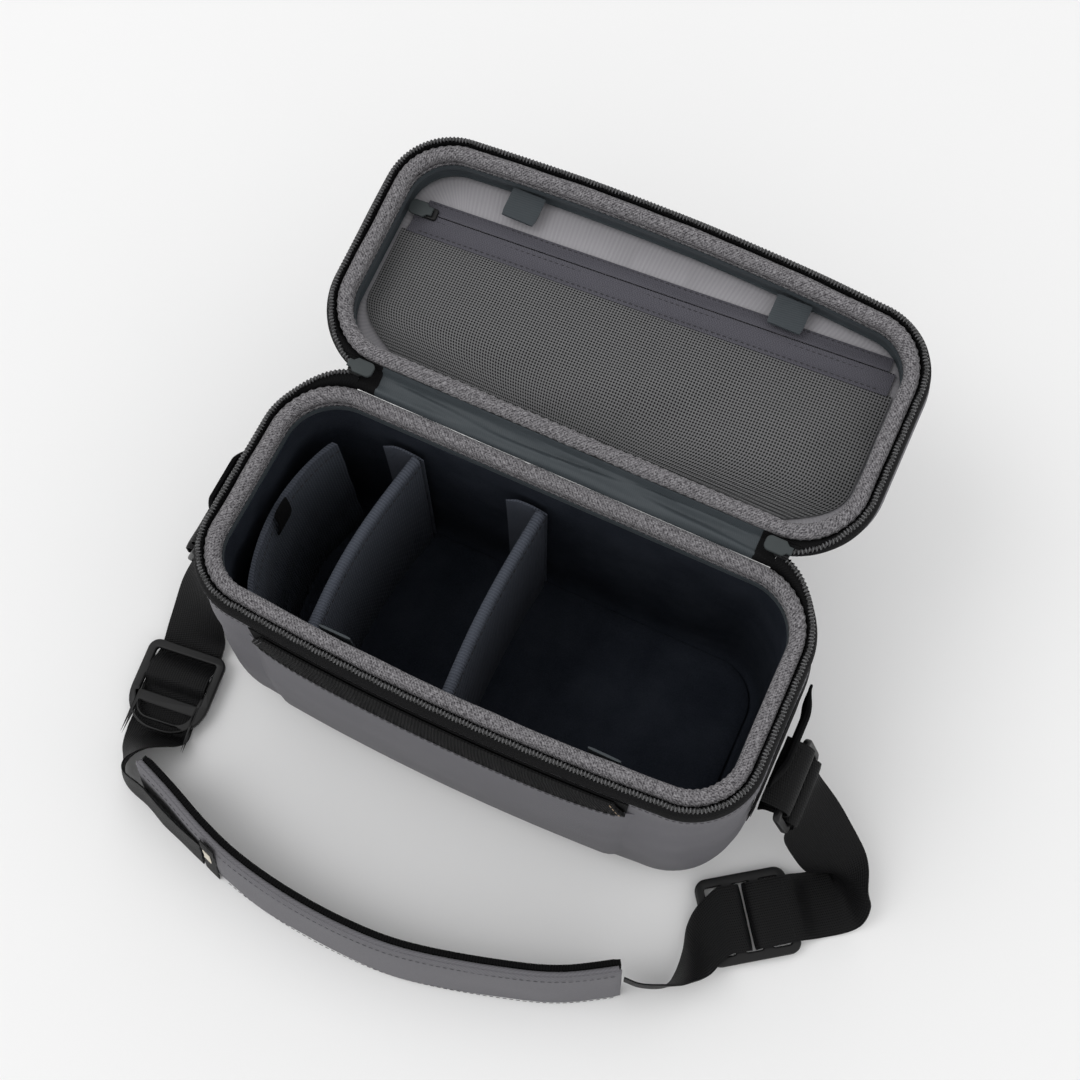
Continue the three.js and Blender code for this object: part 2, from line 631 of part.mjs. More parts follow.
// A flat ladder buckle; loop adds the rounded pull loop past its last bar.
function buckle(name, place, turn, loop) {
  const [halfWidth, halfLength, bar, thickness] = [25, 27, 5.5, 3.6];
  const outline = new THREE.Shape();
  const corner = 7;
  outline.absarc(halfWidth - corner, halfLength - corner, corner, 0, Math.PI / 2);
  outline.absarc(-halfWidth + corner, halfLength - corner, corner, Math.PI / 2, Math.PI);
  const foot = loop ? 22 : corner;
  outline.absarc(-halfWidth + foot, -halfLength + foot, foot, Math.PI, 1.5 * Math.PI);
  outline.absarc(halfWidth - foot, -halfLength + foot, foot, 1.5 * Math.PI, 2 * Math.PI);
  const slot = (y0, y1, half) => {
    const hole = new THREE.Path();
    hole.moveTo(-half, y0);
    hole.lineTo(half, y0);
    hole.lineTo(half, y1);
    hole.lineTo(-half, y1);
    hole.closePath();
    return hole;
  };
  const inside = halfWidth - bar;
  outline.holes.push(slot(10.5, 21.5, inside), slot(-5.5, 5, inside));
  if (loop) {
    const pull = new THREE.Path();
    pull.moveTo(inside - 1, -10.5);
    pull.lineTo(-inside + 1, -10.5);
    pull.absarc(-inside + 11, -11.5, 10, Math.PI, 1.5 * Math.PI);
    pull.absarc(inside - 11, -11.5, 10, 1.5 * Math.PI, 2 * Math.PI);
    outline.holes.push(pull);
  } else {
    outline.holes.push(slot(-21.5, -11, inside));
  }
  const moulding = { depth: thickness, bevelEnabled: false, curveSegments: 5 };
  const geometry = new THREE.ExtrudeGeometry(outline, moulding);
  const mesh = new THREE.Mesh(geometry, blackPlastic());
  mesh.name = name;
  mesh.position.set(...place);
  mesh.rotation.z = degToRad(turn);
  return mesh;
}

const PAD_LINE = [[-167, -157], [-143, -165.5], [-112, -177.5], [-88, -184.5], [-52, -190], [-12, -191.5],
  [23, -188.5], [79, -174], [111, -162], [147, -140]];
const PAD_CURVE = new THREE.CatmullRomCurve3(PAD_LINE.map(([x, y]) => V(x, y, 0)), false, 'centripetal');
const PAD_HEIGHT = 53;
const PAD_LEAN = 9;              // how far the pad's top edge leans towards the bag
const PAD_END = 0.975;
const PAD_START = 0.01;
const TAB_START = 0.19;          // the webbing's end is sewn down here, under a small tab

// Point of the pad: t along it, depth in from its outer face, v from its lower edge to its upper one.
function padPoint(t, depth, v) {
  const along = PAD_CURVE.getTangent(t);
  const inward = V(-along.y, along.x, 0).multiplyScalar(depth + PAD_LEAN * v);
  return PAD_CURVE.getPoint(t).add(inward).add(V(0, 0, 0.4 + (PAD_HEIGHT - 0.4) * v));
}

// A long upright layer of the pad between two depths.
function padLayer(name, from, to, start, end, steps, material) {
  const face = depth => gridOf(steps, 4, (u, v) => padPoint(lerp(start, end, u), depth, v));
  return sheet(name, face(from), face(to), material);
}

// Webbing threaded through a buckle: [distance along it, height] about the buckle's middle.
function threaded([x, y], turn, side, path) {
  const angle = degToRad(turn);
  const along = V(-Math.sin(angle), Math.cos(angle), 0);
  const across = V(Math.cos(angle), Math.sin(angle), 0).multiplyScalar(side);
  return path.map(([distance, z]) => [V(x, y, z).addScaledVector(along, distance), across]);
}

const LEFT_BUCKLE = { middle: [-177.5, -97], foot: 6.4, turn: 7 };
const RIGHT_BUCKLE = { middle: [188, -73], foot: 4, turn: -54.4 };

function strap() {
  const hook = [[178.8, 76], [179, 81.5], [183, 84.6], [187.4, 82], [188, 76.5], [188, 70]];
  const hooked = side => hook.map(([x, z]) => [[side * x, ANCHOR_Y, z], [0, 1, 0]]);
  const onLeft = path => threaded(LEFT_BUCKLE.middle, LEFT_BUCKLE.turn, -1, path);
  const onRight = path => threaded(RIGHT_BUCKLE.middle, RIGHT_BUCKLE.turn, 1, path);
  const onPad = (t, depth, v, way) =>
    [padPoint(t, depth, v), padPoint(t, 0, 1).sub(padPoint(t, 0, 0)).multiplyScalar(way)];
  const leftUpper = [
    ...hooked(-1), [[-187.5, -16, 61], [-0.2, 1, 0]], [[-187, -28, 48], [-0.45, 0.85, 0]],
    [[-185, -42, 31], [-0.8, 0.5, 0]], [[-183, -54, 16], [-0.97, 0.2, 0]],
    ...onLeft([[34, 7.5], [28, 4.9], [23, 4.6], [19.5, 5.6], [15.2, 9.2], [11.5, 11.4], [7.7, 11.7],
      [4.2, 11.3], [1.6, 8.2], [-0.6, 5.2], [-4, 3.9], [-8, 3.8]]),
  ];
  const leftLower = [
    ...onLeft([[-10.4, 3.7], [-18, 3], [-26, 2.9]]),
    [[-174.4, -128.4, 6.9], [-0.95, -0.1, -0.28]], [[-176, -133, 11.8], [-0.82, -0.09, -0.56]],
    [[-177.6, -138.2, 15.8], [-0.63, -0.1, -0.77]], [[-177.6, -143.8, 18.3], [-0.43, -0.09, -0.9]],
    [[-177, -151, 19.6], [-0.25, -0.12, -0.96]], [[-171.5, -157, 21], [-0.1, -0.13, -0.98]],
    onPad(0.04, -4, 0.42, -1), onPad(0.085, -4.6, 0.42, -1), onPad(0.13, -3.2, 0.42, -1),
    onPad(TAB_START - 0.004, -1.5, 0.42, -1),
  ];
  const rightLower = [
    onPad(0.982, 4, 0.43, 1), [[147, -135.3, 21], [-0.04, -0.07, 1]], [[160, -129, 20], [-0.04, -0.1, 0.99]],
    [[164.5, -123, 19.6], [0.09, -0.24, 0.97]], [[167, -114, 17.6], [0.26, -0.46, 0.85]],
    [[168.2, -104.7, 14.8], [0.5, -0.66, 0.57]], [[170.5, -95.5, 13], [0.58, -0.79, 0.18]],
    [[172.8, -89, 11.6], [0.58, -0.81, 0.08]],
    ...onRight([[-14, 9.4], [-8.2, 9.2], [-5.1, 9], [-3.3, 7.4], [-3, 4]]),
  ];
  const rightUpper = [
    ...hooked(1), [[190.5, -14, 61], [0.2, 1, 0]], [[202, -19, 44], [0.7, 0.7, 0]],
    [[219, -26, 25], [0.95, 0.2, -0.1]], [[234, -33, 11], [0.8, -0.6, 0]], [[234, -39, 3], [0.58, -0.81, 0]],
    ...onRight([[39, 2.2], [33.5, 5], [29, 8.4], [24, 9.3], [16, 9], [8, 9.2], [4.6, 9], [2.9, 7.4],
      [2.6, 4]]),
  ];
  const webbing = (name, stations, squared) =>
    ribbon(name, stations, WEBBING_WIDTH, WEBBING, blackWeb(), squared);
  return [
    webbing('strap_left_upper', leftUpper, true),
    buckle('buckle_left', [...LEFT_BUCKLE.middle, LEFT_BUCKLE.foot], LEFT_BUCKLE.turn, true),
    webbing('strap_left_lower', leftLower, false),
    padLayer('pad_cover', 0, 3, PAD_START, PAD_END, 30, shellGrey()),
    padLayer('pad_mesh', 3.35, 9.5, PAD_START + 0.02, PAD_END, 30, blackTape()),
    padLayer('pad_tab', -2.2, -0.4, TAB_START, TAB_START + 0.033, 2, blackWeb()),
    webbing('strap_right_lower', rightLower, false),
    buckle('buckle_right', [...RIGHT_BUCKLE.middle, RIGHT_BUCKLE.foot], RIGHT_BUCKLE.turn, false),
    webbing('strap_right_upper', rightUpper, true),
  ];
}

// ---------------------------------------------------------------- the whole bag
const bag = new THREE.Group();
bag.add(
  bodyShell(), bodyLiner(), basePad(), ...bodyRim(), ...frontPocket(), backPanel(), ...ends(), ...organiser(),
  ...DIVIDERS.flatMap(divider), ...frontWallTabs(), ...clothHinge(), ...mainSliders(), lid(), ...strap(),
);
export default bag;
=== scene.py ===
"""Looks of a shoulder camera bag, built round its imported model.

Lengths are in millimetres, in the model's frame, until piece() and moulded() turn them into metres.
The lid is shaped as if it were closed and then turned back about its cloth hinge by open_lid().
"""

import math

import bmesh
import bpy
import numpy as np
from mathutils import Euler, Matrix, Vector, noise


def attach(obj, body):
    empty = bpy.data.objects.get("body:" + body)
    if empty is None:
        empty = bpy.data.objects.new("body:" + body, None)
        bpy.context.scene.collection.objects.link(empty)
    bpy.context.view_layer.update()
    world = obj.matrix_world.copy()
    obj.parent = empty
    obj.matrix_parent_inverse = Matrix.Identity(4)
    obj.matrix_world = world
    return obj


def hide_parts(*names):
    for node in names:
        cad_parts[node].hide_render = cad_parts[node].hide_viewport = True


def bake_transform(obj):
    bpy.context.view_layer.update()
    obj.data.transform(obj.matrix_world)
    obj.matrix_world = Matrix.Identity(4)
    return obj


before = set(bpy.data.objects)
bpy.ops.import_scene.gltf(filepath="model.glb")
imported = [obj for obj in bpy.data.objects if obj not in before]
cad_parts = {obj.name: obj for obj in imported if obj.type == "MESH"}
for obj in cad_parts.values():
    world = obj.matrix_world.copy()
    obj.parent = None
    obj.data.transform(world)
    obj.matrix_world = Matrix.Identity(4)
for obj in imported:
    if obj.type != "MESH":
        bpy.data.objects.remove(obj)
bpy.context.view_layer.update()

MM = 0.001
THIN_EDGE = 0.5             # share of its thickness that a cloth loses at its long edges

# ---------------------------------------------------------------- driving dimensions, as in the model
RIM = 165.0                 # height of the zip line
HALF_LENGTH = 155.0
HALF_WIDTH = 72.0
FRONT_RADIUS = 36.0
REAR_RADIUS = 40.0
FRONT_BOW = 5.0
ZIP_BAND = 12.0
LID_OPEN = math.radians(172)
HINGE_Y = 76.3
HINGE_Z = RIM + 5
WEBBING_WIDTH = 38.0
WEBBING = 1.6
FLOOR_TOP = 18.0
DIVIDER_TOP = 138.0
SLIDER_X = 122.0
SHELL_THICKNESS = 2.9
HANDLE_FRONT, HANDLE_REAR = -27.0, 33.0
HANDLE_MIDDLE_Z = 117.0
HANDLE_WIDTH = 20.0
DIVIDER_THICKNESS = 6.3
DIVIDER_DIP = 3.5
MESH_HALF = 143.0           # half the width of the lid's mesh pocket
ANCHOR_Y = -12.0
SIDES = (("left", -1), ("right", 1))


# ---------------------------------------------------------------- numbers and curves
def smoothstep(value, low, high):
    t = np.clip((value - low) / (high - low), 0, 1)
    return t * t * (3 - 2 * t)


def lerp(a, b, t):
    return a + (b - a) * t


def catmull(points, steps):
    """Smooth curve through rows of numbers, with this many steps between two rows."""
    p = np.asarray(points, float)
    padded = np.vstack([2 * p[0] - p[1], p, 2 * p[-1] - p[-2]])
    rows = []
    for a, b, c, d in zip(padded, padded[1:], padded[2:], padded[3:]):
        for t in np.arange(steps) / steps:
            cubic = (-a + 3 * b - 3 * c + d) * t**3
            rows.append(0.5 * (2 * b + (c - a) * t + (2 * a - 5 * b + 4 * c - d) * t * t + cubic))
    rows.append(p[-1])
    return np.array(rows)


def even_curve(rows, steps):
    """Smooth curve through rows that start with a point in space, however unevenly the points are spaced."""
    p = np.asarray(rows, float)
    padded = np.vstack([2 * p[0] - p[1], p, 2 * p[-1] - p[-2]])
    gaps = np.linalg.norm(np.diff(padded[:, :3], axis=0), axis=1) ** 0.5
    knots = np.concatenate([[0], np.cumsum(gaps)])
    made = []
    for i in range(1, len(padded) - 2):
        k = knots[i - 1:i + 3]
        q = padded[i - 1:i + 3]
        for t in np.linspace(k[1], k[2], steps, endpoint=False):
            mix = lambda a, b, pa, pb: ((b - t) * pa + (t - a) * pb) / (b - a)
            first = [mix(k[n], k[n + 1], q[n], q[n + 1]) for n in range(3)]
            second = [mix(k[n], k[n + 2], first[n], first[n + 1]) for n in range(2)]
            made.append(mix(k[1], k[2], *second))
    made.append(p[-1])
    return np.array(made)


def lengths(points):
    """Distance along a line of points, from its first one."""
    return np.concatenate([[0], np.cumsum(np.linalg.norm(np.diff(points, axis=0), axis=1))])


def evenly(points, spacing):
    """The same line with its points evenly spaced."""
    s = lengths(points[:, :3])
    at = np.linspace(0, s[-1], max(int(round(s[-1] / spacing)), 2) + 1)
    return np.column_stack([np.interp(at, s, points[:, k]) for k in range(points.shape[1])])


def rumple(points, size, amount, seed=0.0):
    """Smooth noise for each point, with waves of about this size: one value a point."""
    flat = points.reshape(-1, 3) / size + seed
    values = np.array([noise.noise(Vector(p)) for p in flat])
    return amount * values.reshape(points.shape[:-1])


def open_lid(points):
    """Points of the closed lid, turned back about the cloth hinge to where the lid lies open."""
    p = np.array(points, float)
    y, z = p[..., 1] - HINGE_Y, p[..., 2] - HINGE_Z
    p[..., 1] = HINGE_Y + y * math.cos(LID_OPEN) + z * math.sin(LID_OPEN)
    p[..., 2] = HINGE_Z - y * math.sin(LID_OPEN) + z * math.cos(LID_OPEN)
    return p


# ---------------------------------------------------------------- the plan outline
def front_y(x, grow):
    return -(HALF_WIDTH + grow) + FRONT_BOW * np.clip(x / (HALF_LENGTH - FRONT_RADIUS), -1, 1) ** 2


def outline(z, end, front=None, rear=None, arc=18, side=12, front_steps=60, rear_steps=24):
    """Ring of points at height z, standing out from the zip line by end, front and rear.
    It starts at the middle of the rear and runs round by -X, the front and +X."""
    front = end if front is None else front
    rear = end if rear is None else rear
    half, rear_y = HALF_LENGTH + end, HALF_WIDTH + rear
    front_r, rear_r = max(FRONT_RADIUS + end, 5), max(REAR_RADIUS + end, 5)
    front_c, rear_c = float(front_y(HALF_LENGTH, front)) + front_r, rear_y - rear_r
    front_half, rear_half = half - front_r, half - rear_r

    def corner(cx, cy, radius, start):
        angles = np.radians(start + 90 * np.arange(arc + 1) / arc)
        return np.column_stack([cx + radius * np.cos(angles), cy + radius * np.sin(angles)])

    def run(steps, place):
        return np.array([place(i / steps) for i in range(1, steps)])

    front_x = lambda t: lerp(-front_half, front_half, t)
    parts = [
        np.array([[0, rear_y]]),
        run(rear_steps, lambda t: (-rear_half * t, rear_y)),
        corner(-rear_half, rear_c, rear_r, 90),
        run(side, lambda t: (-half, lerp(rear_c, front_c, t))),
        corner(-front_half, front_c, front_r, 180),
        run(front_steps, lambda t: (front_x(t), float(front_y(front_x(t), front)))),
        corner(front_half, front_c, front_r, 270),
        run(side, lambda t: (half, lerp(front_c, rear_c, t))),
        corner(rear_half, rear_c, rear_r, 0),
        run(rear_steps, lambda t: (rear_half * (1 - t), rear_y)),
    ]
    plan = np.vstack(parts)
    return np.column_stack([plan, np.full(len(plan), float(z))])


class Rim:
    """The zip line as a closed path that can be read at any distance along it."""

    def __init__(self):
        ring = outline(0, 0, arc=60, side=30, front_steps=200, rear_steps=60)[:, :2]
        self.points = evenly(np.vstack([ring, ring[:1]]), 0.5)
        self.s = lengths(self.points)
        self.length = self.s[-1]
        ahead = np.roll(self.points[:-1], -3, axis=0) - np.roll(self.points[:-1], 3, axis=0)
        ahead /= np.linalg.norm(ahead, axis=1)[:, None]
        out = np.column_stack([ahead[:, 1], -ahead[:, 0]])
        if (out * self.points[:-1]).sum() < 0:
            out = -out
        self.out = np.vstack([out, out[:1]])

    def at(self, s, out=0.0):
        """Plan points at distances s, standing out by out."""
        s = np.mod(s, self.length)
        read = lambda table, k: np.interp(s, self.s, table[:, k])
        x = read(self.points, 0) + read(self.out, 0) * out
        y = read(self.points, 1) + read(self.out, 1) * out
        return x, y


rim = Rim()
REAR_STRAIGHT = HALF_LENGTH - REAR_RADIUS           # rear middle to the start of a rear corner
REAR_ARC = REAR_RADIUS * math.pi / 2
ZIP_START = REAR_STRAIGHT + math.radians(8) * REAR_RADIUS
CORNERS = (
    REAR_STRAIGHT + REAR_ARC / 2,
    REAR_STRAIGHT + REAR_ARC + 63 + FRONT_RADIUS * math.pi / 4,
)


def at_corner(s):
    """1 at the middle of each of the four corners, falling to 0 along the straights."""
    s = np.minimum(np.mod(s, rim.length), rim.length - np.mod(s, rim.length))
    return sum(np.exp(-(((s - middle) / 24) ** 4)) for middle in CORNERS)


# ---------------------------------------------------------------- meshes
def new_object(name, vertices, faces, uvs, material):
    """A mesh object in metres, whose faces point out, with one UV for each face corner, in metres."""
    vertices = np.asarray(vertices, float)
    a, b, c, d = (vertices[[f[k % len(f)] for f in faces]] for k in range(4))
    volume = (a * np.cross(b, c)).sum() + (a * np.cross(c, d)).sum()
    if volume < 0:
        faces = [f[::-1] for f in faces]
        uvs = [u[::-1] for u in uvs]
    mesh = bpy.data.meshes.new(name)
    mesh.from_pydata((vertices * MM).tolist(), [], faces)
    layer = mesh.uv_layers.new(name="cloth")
    flat = np.array([value for face in uvs for corner in face for value in corner], np.float32) * MM
    layer.data.foreach_set("uv", flat)
    mesh.shade_smooth()
    mesh.set_sharp_from_angle(angle=math.radians(50))
    mesh.materials.append(material)
    obj = bpy.data.objects.new(name, mesh)
    bpy.context.scene.collection.objects.link(obj)
    return obj


def swept(loops, closed=False):
    """Vertices, faces and UVs of a solid swept through rows of closed loops with equal counts.
    U runs along the rows and V round each loop."""
    loops = np.asarray(loops, float)
    rows, count = loops.shape[:2]
    joined = np.concatenate([loops, loops[:1]]) if closed else loops
    along = lengths(joined.mean(axis=1))
    if along[-1] < 1e-3:
        along = lengths(joined[:, 0])
    around = lengths(np.vstack([loops[rows // 2], loops[rows // 2][:1]]))
    faces, uvs = [], []
    for r in range(rows if closed else rows - 1):
        low, high = r * count, ((r + 1) % rows) * count
        for c in range(count):
            n = (c + 1) % count
            faces.append((low + c, low + n, high + n, high + c))
            u0, u1, v0, v1 = along[r], along[r + 1], around[c], around[c + 1]
            uvs.append(((u0, v0), (u0, v1), (u1, v1), (u1, v0)))
    if not closed:
        for start, flip in ((0, True), ((rows - 1) * count, False)):
            for c in range((count - 1) // 2):
                corners = (start + c, start + c + 1, start + count - 2 - c, start + count - 1 - c)
                corners = tuple(dict.fromkeys(corners))
                if len(corners) < 3:
                    continue
                faces.append(corners[::-1] if flip else corners)
                uvs.append(tuple(tuple(loops.reshape(-1, 3)[k][:2]) for k in faces[-1]))
    return loops.reshape(-1, 3), faces, uvs


def slab(front, back):
    """Loops of a sheet with thickness, from the grids of its two sides."""
    return np.concatenate([front, back[:, ::-1]], axis=1)


def facing(grid):
    """Unit normals of a grid of points."""
    along = np.gradient(grid, axis=0)
    across = np.gradient(grid, axis=1)
    normal = np.cross(along, across)
    return normal / np.maximum(np.linalg.norm(normal, axis=2), 1e-9)[..., None]


def both_sides(grid, thickness):
    """Loops of a sheet laid on both sides of a grid, thinner at its two long edges."""
    columns = grid.shape[1]
    across = np.abs(np.linspace(-1, 1, columns))
    profile = thickness / 2 * (1 - THIN_EDGE * across**8)
    push = facing(grid) * profile[None, :, None]
    return slab(grid + push, grid - push)


def grid_of(rows, columns, place):
    """Grid of points from place(v, u), which takes arrays that run from 0 to 1 and gives x, y and z."""
    v, u = np.meshgrid(np.linspace(0, 1, rows + 1), np.linspace(0, 1, columns + 1), indexing="ij")
    x, y, z = place(v, u)
    return np.stack(np.broadcast_arrays(x, y, z), axis=-1).astype(float)


def finish_piece(obj, body, nodes, slot):
    if body is not None:
        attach(obj, body)
    if nodes:
        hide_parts(*nodes)
    return obj


def piece(name, loops, material, body="bag", nodes=(), closed=False):
    paint, slot = material
    obj = new_object(name, *swept(loops, closed), paint)
    return finish_piece(obj, body, nodes, slot)


def joined(name, parts, material, body):
    """Several swept solids as one object."""
    paint, slot = material
    vertices, faces, uvs = [], [], []
    base = 0
    for points, quads, corners in parts:
        vertices.append(points)
        faces += [tuple(base + k for k in quad) for quad in quads]
        uvs += corners
        base += len(points)
    obj = new_object(name, np.vstack(vertices), faces, uvs, paint)
    return finish_piece(obj, body, (), slot)


def moulded(name, outlines, thickness, bevel, place, material, body="bag", nodes=()):
    """A flat moulding with rounded edges, about z = 0 before place: its outer outline, then its holes."""
    paint, slot = material
    curve = bpy.data.curves.new(name, "CURVE")
    curve.dimensions = "2D"
    curve.fill_mode = "BOTH"
    curve.extrude = (thickness / 2 - bevel) * MM
    curve.bevel_depth = bevel * MM
    curve.bevel_resolution = 3
    curve.offset = -bevel * MM
    for points in outlines:
        line = curve.splines.new("POLY")
        line.points.add(len(points) - 1)
        for point, (x, y) in zip(line.points, points):
            point.co = (x * MM, y * MM, 0, 1)
        line.use_cyclic_u = True
    source = bpy.data.objects.new(name + "_outline", curve)
    bpy.context.scene.collection.objects.link(source)
    bpy.context.view_layer.update()
    mesh = bpy.data.meshes.new_from_object(source)
    bpy.data.objects.remove(source)
    bpy.data.curves.remove(curve)
    form = bmesh.new()
    form.from_mesh(mesh)
    bmesh.ops.remove_doubles(form, verts=form.verts, dist=0.00002)
    bmesh.ops.recalc_face_normals(form, faces=form.faces)
    form.to_mesh(mesh)
    form.free()
    mesh.transform(place)
    mesh.shade_smooth()
    mesh.set_sharp_from_angle(angle=math.radians(40))
    mesh.materials.clear()
    mesh.materials.append(paint)
    mesh.name = name
    obj = bpy.data.objects.new(name, mesh)
    bpy.context.scene.collection.objects.link(obj)
    return finish_piece(obj, body, nodes, slot)


def placed(position, rotation=(0, 0, 0)):
    """Matrix that turns by degrees about X, Y and Z, then moves by millimetres."""
    angles = Euler([math.radians(a) for a in rotation])
    return Matrix.Translation(Vector(position) * MM) @ angles.to_matrix().to_4x4()


def rounded_box(half_x, half_y, radii, steps=6):
    """Outline of a rectangle with a radius at each corner, from +X +Y anticlockwise."""
    points = []
    for k, (sx, sy) in enumerate(((1, 1), (-1, 1), (-1, -1), (1, -1))):
        radius = radii[k]
        for i in range(steps + 1):
            angle = math.radians(90 * k + 90 * i / steps)
            points.append((sx * (half_x - radius) + radius * math.cos(angle),
                           sy * (half_y - radius) + radius * math.sin(angle)))
    return points


def shifted(points, x, y):
    return [(px + x, py + y) for px, py in points]


def stitches(name, line, way_out, material, body="bag", length=2.6, gap=1.3, radius=0.32):
    """A row of stitches along a line of points, each a small capsule sunk a little into the cloth."""
    line = evenly(np.asarray(line, float), length + gap)
    parts = []
    up = np.asarray(way_out, float)
    profile = ((-0.5, 0.25), (-0.42, 0.8), (-0.2, 1.0), (0.2, 1.0), (0.42, 0.8), (0.5, 0.25))
    for start, stop in zip(line, line[1:]):
        ahead = stop - start
        ahead /= np.linalg.norm(ahead)
        side = np.cross(up, ahead)
        side /= np.linalg.norm(side)
        top = np.cross(ahead, side)
        middle = (start + stop) / 2
        loops = []
        for t, size in profile:
            centre = middle + ahead * t * length
            ring = [centre + radius * size * (math.cos(a) * side + 0.8 * math.sin(a) * top)
                    for a in np.arange(6) * math.pi / 3]
            loops.append(ring)
        parts.append(swept(loops))
    return joined(name, parts, material, body)


# ---------------------------------------------------------------- materials
def linear(colour):
    """An sRGB colour, 0 to 255, as the shader's linear colour."""
    values = [c / 255 for c in colour]
    return tuple(c / 12.92 if c <= 0.04045 else ((c + 0.055) / 1.055) ** 2.4 for c in values) + (1.0,)


class Paint:
    """A material under construction: one Principled shader, with patterns that feed its colour and bump."""

    def __init__(self, name, roughness, sheen=0.0, specular=0.5):
        self.material = bpy.data.materials.new(name)
        self.material.use_nodes = True
        self.tree = self.material.node_tree
        self.shader = self.tree.nodes["Principled BSDF"]
        self.shader.inputs["Roughness"].default_value = roughness
        self.shader.inputs["Specular IOR Level"].default_value = specular
        self.shader.inputs["Sheen Weight"].default_value = sheen
        self.shader.inputs["Sheen Roughness"].default_value = 0.5
        self.bumped = None
        self.uv = self.add("ShaderNodeUVMap").outputs[0]
        self.place = self.add("ShaderNodeTexCoord").outputs["Object"]

    def add(self, kind, values=None, **settings):
        node = self.tree.nodes.new(kind)
        for key, value in settings.items():
            setattr(node, key, value)
        for key, value in (values or {}).items():
            if isinstance(value, bpy.types.NodeSocket):
                self.tree.links.new(value, node.inputs[key])
            else:
                node.inputs[key].default_value = value
        return node

    def math(self, operation, a, b=0.0, c=0.0):
        return self.add("ShaderNodeMath", {0: a, 1: b, 2: c}, operation=operation).outputs[0]

    def stripes(self, pitch, u=1.0, v=0.0):
        """Sine stripes of this pitch in millimetres that repeat along U and V."""
        k = 2 * math.pi / (pitch * MM)
        dot = self.add("ShaderNodeVectorMath", {0: self.uv, 1: (u * k, v * k, 0)}, operation="DOT_PRODUCT")
        return self.math("SINE", dot.outputs["Value"])

    def herringbone(self, pitch, width):
        """Slanting stripes that turn back at every width, across V."""
        split = self.add("ShaderNodeSeparateXYZ", {0: self.uv})
        folded = self.math("PINGPONG", split.outputs[1], width * MM)
        slant = self.math("ADD", split.outputs[0], folded)
        return self.math("SINE", self.math("MULTIPLY", slant, 2 * math.pi / (pitch * MM)))

    def noise(self, size, detail=3.0, stretch=(1, 1, 1), on_cloth=False, rough=0.55):
        """Noise from 0 to 1 with features of about this size in millimetres."""
        source = self.uv if on_cloth else self.place
        scaled = self.add("ShaderNodeVectorMath", {0: source, 1: tuple(1 / (size * MM * k) for k in stretch)},
                          operation="MULTIPLY")
        values = {"Vector": scaled.outputs[0], "Scale": 1.0, "Detail": detail, "Roughness": rough}
        return self.add("ShaderNodeTexNoise", values).outputs["Fac"]

    def halves(self, a, b):
        """Two patterns in equal shares."""
        return self.math("MULTIPLY_ADD", self.math("ADD", a, b), 0.5, 0.0)

    def sharpen(self, value, low, high):
        """value spread so that low becomes 0 and high becomes 1."""
        return self.add("ShaderNodeMapRange", {0: value, 1: low, 2: high, 3: 0.0, 4: 1.0}).outputs[0]

    def blend(self, a, b, factor):
        """Colour between a and b."""
        node = self.add("ShaderNodeMix", data_type="RGBA")
        for key, value in ((0, factor), (6, a), (7, b)):
            if isinstance(value, bpy.types.NodeSocket):
                self.tree.links.new(value, node.inputs[key])
            else:
                node.inputs[key].default_value = value
        return node.outputs[2]

    def colour(self, value):
        if isinstance(value, bpy.types.NodeSocket):
            self.tree.links.new(value, self.shader.inputs["Base Color"])
        else:
            self.shader.inputs["Base Color"].default_value = value

    def roughen(self, value, low, high):
        """Roughness that follows a pattern from 0 to 1."""
        spread = self.add("ShaderNodeMapRange", {0: value, 1: 0.0, 2: 1.0, 3: low, 4: high})
        self.tree.links.new(spread.outputs[0], self.shader.inputs["Roughness"])

    def bump(self, height, depth):
        """Adds relief of this depth in millimetres."""
        values = {"Height": height, "Distance": depth * MM, "Strength": 1.0}
        if self.bumped is not None:
            values["Normal"] = self.bumped
        self.bumped = self.add("ShaderNodeBump", values).outputs[0]
        self.tree.links.new(self.bumped, self.shader.inputs["Normal"])

    def done(self, slot):
        return self.material, slot


def tones(colour, spread):
    """A darker and a lighter version of an sRGB colour."""
    dark = linear([max(c - spread, 0) for c in colour])
    light = linear([min(c + spread, 255) for c in colour])
    return dark, light


COIL_PITCH = 2.1            # distance between two teeth of the zip


def shell_laminate():
    """Smooth laminated cloth: an even tone, a very fine grain and slow changes in its shine."""
    paint = Paint("shell_laminate", roughness=0.62, sheen=0.04, specular=0.3)
    dark, light = tones((90, 89, 94), 5)
    mottle = paint.noise(70, detail=3)
    grain = paint.noise(0.7, detail=2)
    paint.colour(paint.blend(dark, light, paint.halves(mottle, grain)))
    paint.bump(paint.math("MULTIPLY", paint.stripes(0.8), paint.stripes(0.8, 0, 1)), 0.03)
    paint.bump(grain, 0.06)
    paint.roughen(mottle, 0.52, 0.68)
    return paint.done("shell_fabric")


def heather_twill():
    """Two-tone yarn: pale and dark flecks along both threads, with a coarse woven grain."""
    paint = Paint("heather_twill", roughness=0.9, sheen=0.08, specular=0.15)
    dark, light = tones((104, 102, 105), 46)
    flecks = paint.noise(1.25, detail=2, stretch=(2.2, 0.6, 1), on_cloth=True, rough=0.75)
    cross = paint.noise(1.25, detail=2, stretch=(0.6, 2.0, 1), on_cloth=True, rough=0.75)
    both = paint.sharpen(paint.halves(flecks, cross), 0.4, 0.62)
    line = paint.math("MULTIPLY", paint.stripes(1.4, 0.75, 0.66), 0.14)
    paint.colour(paint.blend(dark, light, paint.math("ADD", both, line)))
    paint.bump(both, 0.25)
    paint.bump(paint.stripes(1.4, 0.75, 0.66), 0.1)
    return paint.done("heather_twill")


